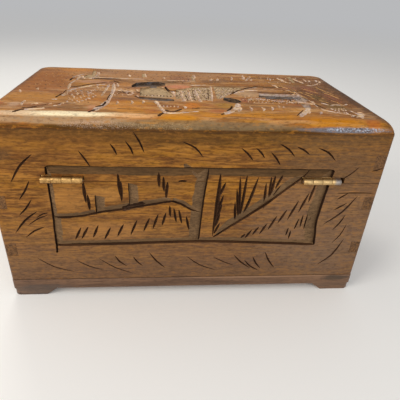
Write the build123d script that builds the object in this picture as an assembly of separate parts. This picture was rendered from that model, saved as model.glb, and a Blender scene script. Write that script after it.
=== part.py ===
"""A carved wooden keepsake box: pinned boards, rounded lid board, corner feet, brass hinges and a hook.

Units are millimetres. +Z is up and the feet stand on z = 0. The two hinges are on the back, towards
+Y, and the hook is on the front, towards -Y. Left and right are as seen from the front, so left is -X.
The origin is under the middle of the whole object, hinge barrels and hook included.
"""

import os
from math import atan2, degrees

from build123d import *

# Driving sizes of the case
case_width = 255.0
case_depth = 141.0
foot_height = 6.6
base_thickness = 8.0
seam_height = 94.4
seam_gap = 0.3
lid_wall_height = 34.1
top_thickness = 7.6
wall = 8.5
corner_radius = 2.4
base_proud = 0.5
base_edge_round = 0.8
top_edge_round = 7.0

# Corner joints: pins of the side boards, held in sockets of the front and back boards
pin_height = 9.8
pin_from_rim = 15.5
lower_pin_rise = 26.6
joint_fit = 0.05

# Corner feet
foot_sole_length = 23.0
foot_top_length = 31.5
foot_width = 12.0
foot_corner_radius = 4.0

# Butt hinges
hinge_length = 25.6
hinge_inset_left = 42.6
hinge_inset_right = 45.65
knuckle_count = 4
knuckle_gap = 0.25
barrel_radius = 2.1
barrel_out = 2.1
leaf_thickness = 0.9
leaf_reach = 7.0
pin_radius = 0.9
pin_clearance = 0.04
mortise_play = 0.4
mortise_overcut = 3.2
leaf_screw_spacing = 14.0
leaf_screw_inset = 3.6
leaf_screw_head_radius = 1.7
leaf_screw_radius = 0.8
leaf_screw_length = 8.0
screw_fit = 0.02
slot_width = 0.4
slot_depth = 0.35

# Hook on the front: its pivot is on the case, and its stud on the lid
pivot_drop = 11.0
stud_rise = 11.0
hook_thickness = 1.2
hook_arm_width = 3.2
hook_eye_radius = 3.4
hook_end_radius = 4.0
hook_tip_radius = 1.5
hook_tip_offset = 0.8
hook_play = 0.1
washer_radius = 3.3
washer_thickness = 0.8
neck_radius = 1.4
neck_clearance = 0.05
stud_clearance = 0.35
stud_head_room = 0.3
round_head_radius = 3.0
round_head_height = 1.5
round_head_shank = 6.5
round_head_shank_radius = 1.1
round_head_slot_width = 0.7
round_head_slot_depth = 0.6

# Carving. Drawings are laid out in steps of this size. A drawing's middle goes on the middle of the top, or
# for the back on the middle of the seam. Grooves have a depth and how far they reach to each side
drawing_step = 1.0
top_drawing_middle = (127.5, 70.5)
back_drawing_middle = (127.5, 94.4)
cut_lift = 1.0
stop_wall = 0.1
narrow_reach = 1.9
narrow_depth = 0.85
pare_reach = 3.9
pare_depth = 1.05
broad_reach = 6.8
broad_depth = 1.4
knife_reach = 0.9
knife_depth = 1.6
gouge_reach = 1.6
gouge_depth = 1.4
ramp_reach = 5.4
ramp_depth = 1.4
ground_depth = 1.7
shade_depth = 2.5
hole_depth = 3.4

# Pictures on the front and the ends: bordered panels below the seam
panel_margin = 30.0
panel_gap = 34.0
panel_drop = 6.4
panel_height = 48.0

# Levels, from the floor up
base_top = foot_height + base_thickness
lid_bottom = seam_height + seam_gap
lid_wall_top = lid_bottom + lid_wall_height
lid_top = lid_wall_top + top_thickness

# What stands out at the back and the front sets where the case lies about the origin
back_out = barrel_out + barrel_radius
stud_neck = washer_thickness + hook_thickness + 2 * hook_play + stud_head_room
front_out = stud_neck + round_head_height
case_y = (front_out - back_out) / 2
case_back = case_y + case_depth / 2
case_front = case_y - case_depth / 2
case_left = -case_width / 2
case_right = case_width / 2
hinge_axis_y = case_back + barrel_out
hinge_axis_z = seam_height + barrel_radius

# Each kind of groove: how far it reaches left and right of its line, and its depth
narrow_stop = (stop_wall, narrow_reach, narrow_depth)
pared_stop = (stop_wall, pare_reach, pare_depth)
broad_stop = (stop_wall, broad_reach, broad_depth)
knife_line = (knife_reach, knife_reach, knife_depth)
gouge_channel = (gouge_reach, gouge_reach, gouge_depth)
ramp = (stop_wall, ramp_reach, ramp_depth)

# The back's drawing: steps from the left end and from the floor, as the carver in front of it sees it
back_lines = (
    (pared_stop, ((37.0, 104.3), (128.0, 104.1), (219.4, 103.7))),
    (pared_stop, ((35.7, 46.4), (35.8, 58.0), (36.4, 68.6))),
    (narrow_stop, ((36.4, 69.6), (36.5, 86.0), (36.5, 103.6))),
    (broad_stop, ((219.8, 103.0), (217.1, 78.0), (216.2, 63.0), (217.9, 45.2))),
    (narrow_stop, ((217.4, 44.6), (133.0, 49.2), (36.2, 45.8))),
    (broad_stop, ((136.8, 103.0), (135.7, 92.0), (134.4, 78.0), (133.1, 50.6))),
    (pared_stop, ((133.6, 71.0), (126.7, 73.9), (120.0, 78.1), (114.3, 80.2))),
    (pared_stop, ((113.2, 80.2), (93.3, 76.4), (81.2, 73.9), (65.0, 71.4))),
    (pared_stop, ((63.4, 71.0), (55.0, 68.9), (45.0, 67.9), (37.4, 67.8))),
    (pared_stop, ((199.0, 98.3), (185.8, 85.7), (160.0, 64.1), (150.0, 56.4))),
)

# The top's drawing: steps from the left end and from the near edge, as seen from the back
top_lines = (
    (gouge_channel, ((42.4, 117.0), (42.6, 100.0), (41.2, 84.0), (42.4, 68.0), (42.2, 56.0), (39.4, 43.0))),
    (ramp, ((40.8, 67.3), (48.0, 71.8), (56.0, 78.0), (63.5, 83.3))),
    (knife_line, ((45.0, 98.2), (55.0, 99.6), (68.0, 100.0), (80.0, 98.6), (96.0, 100.4))),
    (
        gouge_channel,
        ((70.2, 86.0), (71.6, 74.0), (72.1, 46.0), (70.8, 31.0), (66.5, 22.0), (63.6, 11.0)),
    ),
    (gouge_channel, ((104.6, 39.5), (106.2, 31.0), (108.2, 22.5), (107.2, 14.0), (105.0, 6.0))),
    (gouge_channel, ((157.5, 36.5), (157.3, 30.0), (153.2, 22.0), (148.4, 15.0), (144.4, 9.0))),
    (gouge_channel, ((208.2, 38.0), (204.6, 30.0), (200.6, 22.0), (194.6, 13.5), (191.3, 10.0))),
    (gouge_channel, ((22.0, 7.2), (24.8, 13.4), (31.0, 17.6), (36.4, 18.7))),
    (gouge_channel, ((243.0, 30.0), (238.4, 22.0), (233.3, 12.4))),
    (gouge_channel, ((111.5, 15.7), (120.0, 17.5), (130.0, 22.0), (133.4, 25.4))),
    (ramp, ((150.6, 47.2), (158.0, 62.0), (163.0, 69.0), (170.0, 80.0), (177.4, 88.3))),
    (knife_line, ((129.0, 81.9), (140.0, 82.8), (155.0, 86.0), (165.0, 89.6))),
    (knife_line, ((171.0, 84.5), (180.0, 88.0), (190.0, 89.5), (197.0, 88.7))),
    (knife_line, ((180.0, 71.9), (187.0, 69.4), (198.0, 70.4), (208.0, 72.9))),
    (knife_line, ((109.0, 82.0), (111.2, 74.0), (114.2, 64.0))),
    (knife_line, ((111.6, 76.4), (118.0, 74.4), (124.4, 75.8))),
)
top_grounds = (
    (ground_depth, ((91.0, 47.5), (112.8, 48.0), (113.0, 62.0), (109.5, 75.0), (103.0, 79.5), (92.0, 76.0))),
    (
        shade_depth,
        ((85, 72), (92, 72), (104, 79), (109, 85), (108.5, 93.5), (98, 93.5), (89.5, 89)),
    ),
    (shade_depth, ((88.0, 47.5), (101.0, 40.2), (109.0, 41.0), (113.5, 45.5), (104.0, 49.8))),
    (hole_depth, ((148, 43), (152, 38), (158, 36.5), (162, 40), (160.5, 48), (156, 53), (151, 52))),
    (ground_depth, ((178.5, 60.0), (196.0, 58.0), (207.0, 62.0), (206.5, 69.0), (186.0, 67.0), (179.0, 67.0))),
    (shade_depth, ((180.0, 53.0), (196.0, 52.5), (198.0, 57.0), (190.0, 58.2), (180.0, 58.5))),
)

# A panel's hill line, in shares of the panel's width and height
panel_hill = ((0.03, 0.306), (0.25, 0.36), (0.5, 0.52), (0.72, 0.66), (0.97, 0.767))


def block(x, y, z):
    """A box between the low and high values given for each axis."""
    size = [span[1] - span[0] for span in (x, y, z)]
    middle = [(span[0] + span[1]) / 2 for span in (x, y, z)]
    return Pos(*middle) * Box(*size)


def around(middle, length):
    """The low and high ends of a length about its middle."""
    return middle - length / 2, middle + length / 2


def rod_x(radius, x, y, z):
    """A round rod along X between the two values in x."""
    return Pos((x[0] + x[1]) / 2, y, z) * Rot(0, 90, 0) * Cylinder(radius, x[1] - x[0])


def case_outline(z):
    """The outer shape of the case between two levels, with its vertical corners rounded."""
    rounded = RectangleRounded(case_width, case_depth, corner_radius)
    return Pos(0, case_y, z[0]) * extrude(rounded, z[1] - z[0])


def pinned_boards(z, pin_levels):
    """The four boards of one storey, jointed at the corners by the pins of the side boards."""
    outline = case_outline(z)
    ends = {"left": (case_left, case_left + wall), "right": (case_right - wall, case_right)}
    faces = {"back": (case_back - wall, case_back), "front": (case_front, case_front + wall)}
    inner_depth = (case_front + wall, case_back - wall)
    boards = {}
    for face, y in faces.items():
        board = block((case_left, case_right), y, z)
        for level in pin_levels:
            for x in ends.values():
                board -= block(x, y, around(level, pin_height + 2 * joint_fit))
        boards[face] = board & outline
    for end, x in ends.items():
        board = block(x, inner_depth, z)
        for level in pin_levels:
            board += block(x, (case_front, case_back), around(level, pin_height))
        boards[end] = board & outline
    return boards


def rounded_top_board():
    """The lid's top board: flat below, its four upper edges planed to a quarter round."""
    middle = Pos(0, case_y, (lid_wall_top + lid_top) / 2)
    slabs = []
    for plane, length, run in ((Plane.XZ, case_width, case_depth), (Plane.YZ, case_depth, case_width)):
        section = Rectangle(length, top_thickness)
        section = fillet(section.vertices().group_by(Axis.Y)[-1], top_edge_round)
        slabs.append(middle * extrude(plane * section, run / 2, both=True))
    return (slabs[0] & slabs[1]) & case_outline((lid_wall_top, lid_top))


def base_panel():
    """The base board, as wide as the case and a little proud of its front and back."""
    y = (case_front - base_proud, case_back + base_proud)
    board = block((case_left, case_right), y, (foot_height, base_top))
    board = fillet(board.edges().filter_by(Axis.Z), corner_radius)
    upper_long = board.faces().sort_by(Axis.Z)[-1].edges().filter_by(Axis.X)
    return fillet(upper_long, base_edge_round)


def corner_foot(side, end):
    """An L-shaped foot under one corner, its two arms cut away towards the floor."""
    sole = Polyline(
        (0, 0), (foot_sole_length, 0), (foot_top_length, foot_height), (0, foot_height), close=True
    )
    arm_x = extrude(Plane.XZ * make_face(sole), -foot_width)
    arm_y = extrude(Plane.YZ * make_face(sole), foot_width)
    foot = arm_x + arm_y
    outer = foot.edges().filter_by(Axis.Z).sort_by_distance((0, 0, foot_height / 2))[0]
    foot = fillet(outer, foot_corner_radius)
    if side > 0:
        foot = foot.mirror(Plane.YZ)
    if end > 0:
        foot = foot.mirror(Plane.XZ)
    return Pos(side * case_width / 2, case_y + end * case_depth / 2, 0) * foot


def top_face():
    """The lid's upper face, about its middle, as seen from the back."""
    return Plane((0, case_y, lid_top), x_dir=(-1, 0, 0), z_dir=(0, 0, 1))


def side_faces():
    """The four upright faces by name, each about the middle of its seam, as seen from in front of it."""
    return {
        "back": Plane((0, case_back, seam_height), x_dir=(-1, 0, 0), z_dir=(0, 1, 0)),
        "front": Plane((0, case_front, seam_height), x_dir=(1, 0, 0), z_dir=(0, -1, 0)),
        "left": Plane((case_left, case_y, seam_height), x_dir=(0, -1, 0), z_dir=(-1, 0, 0)),
        "right": Plane((case_right, case_y, seam_height), x_dir=(0, 1, 0), z_dir=(1, 0, 0)),
    }


def from_drawing(points, middle):
    """Points of a drawing, as lengths from its middle."""
    return [((x - middle[0]) * drawing_step, (y - middle[1]) * drawing_step) for x, y in points]


def groove_section(spot, run, stretch, groove):
    """The three corners of a groove's section: above its left side, its bottom, above its right side."""
    left, right, depth = groove
    spread = (1 + cut_lift / depth) * stretch
    side = Vector(-run.Y, run.X)
    return [
        spot + side * (left * spread) + Vector(0, 0, cut_lift),
        spot - Vector(0, 0, depth),
        spot - side * (right * spread) + Vector(0, 0, cut_lift),
    ]


def between_sections(first, second):
    """The solid between two sections with three corners each."""
    rings = [first, second]
    for i in range(3):
        j = (i + 1) % 3
        rings.append([first[i], first[j], second[j], second[i]])
    return Solid(Shell([Face(Wire.make_polygon(ring)) for ring in rings]))


def groove_runs(face, points, groove):
    """A groove's straight runs along a line on a face, mitred where they meet, as solids to cut away."""
    spots = [Vector(*point) for point in points]
    runs = [(b - a).normalized() for a, b in zip(spots, spots[1:])]
    sections = []
    for index, spot in enumerate(spots):
        before, after = runs[max(index - 1, 0)], runs[min(index, len(runs) - 1)]
        mitre = (before + after).normalized()
        section = groove_section(spot, mitre, 1 / mitre.dot(after), groove)
        sections.append([face.from_local_coords(corner) for corner in section])
    return [between_sections(a, b) for a, b in zip(sections, sections[1:])]


def sunk_ground(face, points, depth):
    """A patch of a face cut down flat, as a solid to cut away."""
    outline = make_face(Polyline(*points, close=True))
    return extrude(face * Pos(0, 0, cut_lift) * outline, -depth - cut_lift)


def top_carving():
    """All that is cut out of the lid's top."""
    face = top_face()
    cuts = []
    for groove, points in top_lines:
        cuts += groove_runs(face, from_drawing(points, top_drawing_middle), groove)
    for depth, points in top_grounds:
        cuts.append(sunk_ground(face, from_drawing(points, top_drawing_middle), depth))
    return cuts


def back_carving():
    """All that is cut out of the back, across the seam."""
    face = side_faces()["back"]
    cuts = []
    for groove, points in back_lines:
        cuts += groove_runs(face, from_drawing(points, back_drawing_middle), groove)
    return cuts


def panel_carving(face, left, right, mirrored):
    """A bordered panel between two places on a face, with its hill; mirrored, the hill climbs leftwards."""
    head, foot = -panel_drop, -panel_drop - panel_height
    corners = [(left, foot), (left, head), (right, head), (right, foot)]
    cuts = []
    for start, end in zip(corners, corners[1:] + corners[:1]):
        cuts += groove_runs(face, [start, end], pared_stop)
    shares = panel_hill if mirrored else panel_hill[::-1]
    hill = [
        (left + (right - left) * (1 - u if mirrored else u), foot + panel_height * v) for u, v in shares
    ]
    return cuts + groove_runs(face, hill, pared_stop)


def side_carving(name):
    """All that is cut out of one upright face."""
    if name == "back":
        return back_carving()
    face = side_faces()[name]
    if name == "front":
        edge = case_width / 2 - panel_margin
        left = panel_carving(face, -edge, -panel_gap / 2, False)
        return left + panel_carving(face, panel_gap / 2, edge, True)
    edge = case_depth / 2 - panel_margin
    return panel_carving(face, -edge, edge, name == "right")


def hinge_middles():
    """The middle of each hinge along X, by its name."""
    return {"left": case_left + hinge_inset_left, "right": case_right - hinge_inset_right}


def knuckle_span(middle, index):
    """Where one knuckle of the barrel begins and ends, with its share of the running gaps."""
    pitch = hinge_length / knuckle_count
    start = middle - hinge_length / 2 + index * pitch
    return start + knuckle_gap / 2, start + pitch - knuckle_gap / 2


def leaf_screw_places(middle):
    """The X and Y of the screws in one leaf."""
    return [(x, case_back - leaf_screw_inset) for x in around(middle, leaf_screw_spacing)]


def leaf_screw(grown=0.0):
    """A countersunk screw, its head's top at z = 0 and its point down; grown widens it for a hole."""
    down = (Align.CENTER, Align.CENTER, Align.MAX)
    radius = leaf_screw_radius + grown
    point_length = 2 * leaf_screw_radius
    shank_end = point_length - leaf_screw_length
    head = Cone(radius, leaf_screw_head_radius + grown, leaf_thickness, align=down)
    shank = Pos(0, 0, -leaf_thickness) * Cylinder(radius, -leaf_thickness - shank_end, align=down)
    point = Pos(0, 0, shank_end) * Cone(grown, radius, point_length + grown, align=down)
    return head + shank + point


def slotted(screw, radius, width, depth):
    """The screw with its driver slot cut across the top of its head, which is at z = 0."""
    return screw - block((-radius, radius), around(0, width), (-depth, depth))


def leaf_screw_pose(x, y, on_lid):
    """Where a leaf screw goes: head up on the case's leaf, head down under the lid's leaf."""
    if on_lid:
        return Pos(x, y, hinge_axis_z + barrel_radius - leaf_thickness) * Rot(180, 0, 0)
    return Pos(x, y, seam_height + leaf_thickness)


def hinge_leaf(middle, on_lid):
    """One leaf of a butt hinge with its share of the knuckles, tangent to the barrel."""
    if on_lid:
        z = (hinge_axis_z + barrel_radius - leaf_thickness, hinge_axis_z + barrel_radius)
    else:
        z = (seam_height, seam_height + leaf_thickness)
    plate_end = case_back - mortise_play
    leaf = block(around(middle, hinge_length), (case_back - leaf_reach, plate_end), z)
    for index in range(knuckle_count):
        if (index % 2 == 0) == on_lid:
            span = knuckle_span(middle, index)
            leaf += block(span, (plate_end, hinge_axis_y), z)
            leaf += rod_x(barrel_radius, span, hinge_axis_y, hinge_axis_z)
    bore = rod_x(pin_radius + pin_clearance, around(middle, hinge_length), hinge_axis_y, hinge_axis_z)
    leaf -= bore
    for x, y in leaf_screw_places(middle):
        leaf -= leaf_screw_pose(x, y, on_lid) * leaf_screw(screw_fit)
    return leaf


def leaf_screws(on_lid):
    """All the screws of one side of both hinges, as a group."""
    screw = slotted(leaf_screw(), leaf_screw_head_radius, slot_width, slot_depth)
    return [
        leaf_screw_pose(x, y, on_lid) * screw
        for middle in hinge_middles().values()
        for x, y in leaf_screw_places(middle)
    ]


def cut_for_screws(board, on_lid):
    """The board with a hole for each leaf screw."""
    for middle in hinge_middles().values():
        for x, y in leaf_screw_places(middle):
            board -= leaf_screw_pose(x, y, on_lid) * leaf_screw(screw_fit)
    return board


def cut_hinge_mortises(board):
    """The lid's back board with a mortise as deep as each closed hinge; the left one runs past it."""
    for name, middle in hinge_middles().items():
        low, high = around(middle, hinge_length + 2 * mortise_play)
        if name == "left":
            low -= mortise_overcut
        depth = (case_back - leaf_reach - mortise_play, case_back)
        board -= block((low, high), depth, (lid_bottom, hinge_axis_z + barrel_radius))
    return board


def round_head_screw(neck, shank_growth=0.0):
    """A round-headed screw along +Z: the shank is below z = 0, the neck and the domed head above."""
    shank = Cylinder(
        round_head_shank_radius + shank_growth, round_head_shank,
        align=(Align.CENTER, Align.CENTER, Align.MAX),
    )
    collar = Cylinder(neck_radius, neck, align=(Align.CENTER, Align.CENTER, Align.MIN))
    dome_radius = (round_head_radius**2 + round_head_height**2) / (2 * round_head_height)
    sphere = Pos(0, 0, neck + round_head_height - dome_radius) * Sphere(dome_radius)
    slab = block(around(0, 2 * dome_radius), around(0, 2 * dome_radius), (neck, neck + round_head_height))
    top = neck + round_head_height
    slot = block(
        around(0, 2 * round_head_radius), around(0, round_head_slot_width),
        (top - round_head_slot_depth, top),
    )
    return shank + collar + ((sphere & slab) - slot)


def on_front(z):
    """A place on the front face, over the middle of the case, with +Z turned to face outwards."""
    return Pos(0, case_front, z) * Rot(90, 0, 0)


def plumb_hook():
    """The hook hanging from its pivot, and the angle that it turned through to hang plumb.

    Its mouth opens sideways, and the jaw nearer the pivot is cut back so that the stud slides in.
    """
    reach = pivot_drop + stud_rise
    mouth_radius = neck_radius + stud_clearance
    plate = Circle(hook_eye_radius) + Pos(0, -reach / 2) * Rectangle(hook_arm_width, reach)
    plate += Pos(0, -reach) * Circle(hook_end_radius)
    plate += Pos(hook_tip_offset, -reach - hook_end_radius) * Circle(hook_tip_radius)
    plate -= Circle(neck_radius + neck_clearance)
    plate -= Pos(0, -reach) * Circle(mouth_radius)
    mouth = Polyline(
        (0, -mouth_radius), (2 * hook_end_radius, -mouth_radius),
        (2 * hook_end_radius, 2 * hook_end_radius), (0, mouth_radius), close=True,
    )
    plate -= Pos(0, -reach) * make_face(mouth)
    flat = extrude(plate, hook_thickness)
    middle = flat.center(CenterOf.MASS)
    hang = degrees(atan2(-middle.X, -middle.Y))
    return Pos(0, 0, washer_thickness + hook_play) * Rot(0, 0, hang) * flat, hang


def body_pieces():
    """Every piece that stays with the case."""
    upper_pin = seam_height - pin_from_rim
    lower_pin = base_top + lower_pin_rise
    boards = pinned_boards((base_top, seam_height), (lower_pin, upper_pin))
    pivot_z = seam_height - pivot_drop
    pivot_neck = washer_thickness + hook_thickness + 2 * hook_play
    boards["back"] = cut_for_screws(boards["back"], on_lid=False)
    boards["front"] -= on_front(pivot_z) * Pos(0, 0, -round_head_shank / 2) * Cylinder(
        round_head_shank_radius + screw_fit, round_head_shank
    )
    pieces = {f"body_{name}_board": board - side_carving(name) for name, board in boards.items()}
    pieces["base_board"] = base_panel()
    for end_name, end in (("front", -1), ("back", 1)):
        for side_name, side in (("left", -1), ("right", 1)):
            pieces[f"foot_{end_name}_{side_name}"] = corner_foot(side, end)
    for name, middle in hinge_middles().items():
        pieces[f"hinge_{name}_body_leaf"] = hinge_leaf(middle, on_lid=False)
        span = around(middle, hinge_length)
        pieces[f"hinge_{name}_pin"] = rod_x(pin_radius, span, hinge_axis_y, hinge_axis_z)
    pieces["hinge_body_screws"] = leaf_screws(on_lid=False)
    washer = Cylinder(washer_radius, washer_thickness) - Cylinder(
        neck_radius + neck_clearance, washer_thickness
    )
    pieces["latch_washer"] = on_front(pivot_z) * Pos(0, 0, washer_thickness / 2) * washer
    pieces["latch_pivot_screw"] = on_front(pivot_z) * round_head_screw(pivot_neck)
    return pieces


def lid_pieces():
    """Every piece that swings with the lid."""
    boards = pinned_boards((lid_bottom, lid_wall_top), (seam_height + pin_from_rim,))
    boards["back"] = cut_for_screws(cut_hinge_mortises(boards["back"]), on_lid=True)
    stud_z = seam_height + stud_rise
    boards["front"] -= on_front(stud_z) * Pos(0, 0, -round_head_shank / 2) * Cylinder(
        round_head_shank_radius + screw_fit, round_head_shank
    )
    boards["back"] -= back_carving()
    pieces = {f"lid_{name}_board": board for name, board in boards.items()}
    pieces["lid_top_board"] = rounded_top_board() - top_carving()
    for name, middle in hinge_middles().items():
        pieces[f"hinge_{name}_lid_leaf"] = hinge_leaf(middle, on_lid=True)
    pieces["hinge_lid_screws"] = leaf_screws(on_lid=True)
    pieces["latch_stud"] = on_front(stud_z) * round_head_screw(stud_neck)
    return pieces


def write_pieces(pieces):
    """Writes one file for each piece or group of pieces, under its own name."""
    os.makedirs("parts", exist_ok=True)
    for name, shape in pieces.items():
        solids = [s for item in shape for s in item.solids()] if isinstance(shape, list) else shape.solids()
        whole = solids[0] if len(solids) == 1 else Compound(children=solids)
        whole.label = name
        export_step(whole, os.path.join("parts", f"{name}.step"))


hook, hook_hang = plumb_hook()
all_pieces = {**body_pieces(), **lid_pieces()}
all_pieces["latch_hook"] = on_front(seam_height - pivot_drop) * hook
write_pieces(all_pieces)
print(f"{len(all_pieces)} pieces; the lid turns about y {hinge_axis_y:.3f}, z {hinge_axis_z:.3f}")
print(f"the hook turns about x 0, z {seam_height - pivot_drop:.3f}, and hangs {hook_hang:.2f} degrees round")
print(f"case y from {case_front:.3f} to {case_back:.3f}, top at {lid_top:.2f}")
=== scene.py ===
"""Looks of a hand carved keepsake box.

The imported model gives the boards, feet and fittings in metres. Here the boards are carved stroke by stroke
with knife and gouge shapes, edges are eased, and every surface gets a finish made of shader nodes.
"""

import logging
import math
import random
from contextlib import contextmanager
from dataclasses import dataclass, field, replace
from enum import Enum
from typing import Callable, Iterable, Iterator, Sequence

import bmesh
import bpy
from mathutils import Matrix, Vector, noise


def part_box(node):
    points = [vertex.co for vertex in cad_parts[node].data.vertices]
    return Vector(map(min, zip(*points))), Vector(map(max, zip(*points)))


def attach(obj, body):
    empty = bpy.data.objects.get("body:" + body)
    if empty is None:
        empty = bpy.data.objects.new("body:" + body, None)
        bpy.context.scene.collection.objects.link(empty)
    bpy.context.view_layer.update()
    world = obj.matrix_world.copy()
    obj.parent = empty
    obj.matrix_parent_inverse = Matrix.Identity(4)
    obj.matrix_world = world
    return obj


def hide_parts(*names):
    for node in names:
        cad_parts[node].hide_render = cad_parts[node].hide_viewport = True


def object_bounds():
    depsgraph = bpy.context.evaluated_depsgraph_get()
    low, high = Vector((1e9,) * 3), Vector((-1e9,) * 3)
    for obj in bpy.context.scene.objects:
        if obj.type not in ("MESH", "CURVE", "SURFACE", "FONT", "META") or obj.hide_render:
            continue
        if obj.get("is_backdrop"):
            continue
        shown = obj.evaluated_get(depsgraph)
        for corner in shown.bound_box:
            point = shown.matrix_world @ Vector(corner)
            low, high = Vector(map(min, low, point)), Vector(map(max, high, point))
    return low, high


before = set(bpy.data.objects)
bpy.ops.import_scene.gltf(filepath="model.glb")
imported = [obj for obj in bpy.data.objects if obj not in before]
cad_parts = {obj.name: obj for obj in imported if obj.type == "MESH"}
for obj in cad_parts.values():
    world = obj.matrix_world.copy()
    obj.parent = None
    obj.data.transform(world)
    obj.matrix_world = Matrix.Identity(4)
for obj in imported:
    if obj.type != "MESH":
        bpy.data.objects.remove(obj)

LOG = logging.getLogger("keepsake_box")
MM = 0.001
# Points within WELD of each other are one, faces that turn by less than FLAT_ANGLE lie in one plane, and
# edges that turn by more than SHARP_ANGLE are eased. Pieces shade smooth up to SMOOTH_ANGLE, in degrees.
WELD = 0.001 * MM
FLAT_ANGLE = math.radians(0.5)
SHARP_ANGLE = math.radians(35)
SMOOTH_ANGLE = 24.0
START_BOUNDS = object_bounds()
# Corners in metres, and the rounding of the lid's upper edges in millimetres
CASE_LOW = Vector(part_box("body_left_board")[0])
CASE_HIGH = Vector(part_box("body_right_board")[1])
LID_LOW, LID_HIGH = (Vector(corner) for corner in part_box("lid_top_board"))
LID_ROUNDING = 7.0

Colour = tuple[float, float, float]
Point = tuple[float, float]
Place = tuple[float, float, float]
Path = tuple[Point, ...]
Socket = bpy.types.NodeSocket
Finish = bpy.types.Material
Thing = bpy.types.Object
Mesh = bpy.types.Mesh
Shape = bmesh.types.BMesh


def paint(red: int, green: int, blue: int) -> Colour:
    """Turns a display colour into the linear values that a shader takes.

    Args:
        red: red from 0 to 255.
        green: green from 0 to 255.
        blue: blue from 0 to 255.

    Returns:
        The same colour in linear light.
    """

    def linear(value: int) -> float:
        """One channel in linear light."""
        share = value / 255
        return share / 12.92 if share <= 0.04045 else ((share + 0.055) / 1.055) ** 2.4

    return linear(red), linear(green), linear(blue)


class Wire:
    """A value in a shader tree, on which Python's operators add Math nodes."""

    def __init__(self, shop: "Shop", socket: Socket) -> None:
        """Wraps one output socket of the shop's tree."""
        self.shop = shop
        self.socket = socket

    def math(self, operation: str, *others: "Wire | float") -> "Wire":
        """Adds a Math node.

        Args:
            operation: the Math node's operation.
            others: the second and third values, where the operation has them.

        Returns:
            The node's result.
        """
        sockets = dict(enumerate((self, *others)))
        return self.shop.value("ShaderNodeMath", sockets, operation=operation)

    def __add__(self, other: "Wire | float") -> "Wire":
        """Sum."""
        return self.math("ADD", other)

    def __mul__(self, other: "Wire | float") -> "Wire":
        """Product."""
        return self.math("MULTIPLY", other)

    def __sub__(self, other: "Wire | float") -> "Wire":
        """Difference."""
        return self.math("SUBTRACT", other)

    def __rsub__(self, other: float) -> "Wire":
        """Difference from a number."""
        return (self * -1.0) + other

    def __abs__(self) -> "Wire":
        """Size without sign."""
        return self.math("ABSOLUTE")

    def least(self, other: "Wire | float") -> "Wire":
        """The smaller of two values."""
        return self.math("MINIMUM", other)

    def rise(self, low: float, high: float) -> "Wire":
        """A smooth step from 0 at low to 1 at high.

        Args:
            low: where the step starts.
            high: where it ends; below low for a falling step.

        Returns:
            The step.
        """
        sockets = {"Value": self, "From Min": low, "From Max": high}
        return self.shop.value("ShaderNodeMapRange", sockets, interpolation_type="SMOOTHSTEP")


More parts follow.
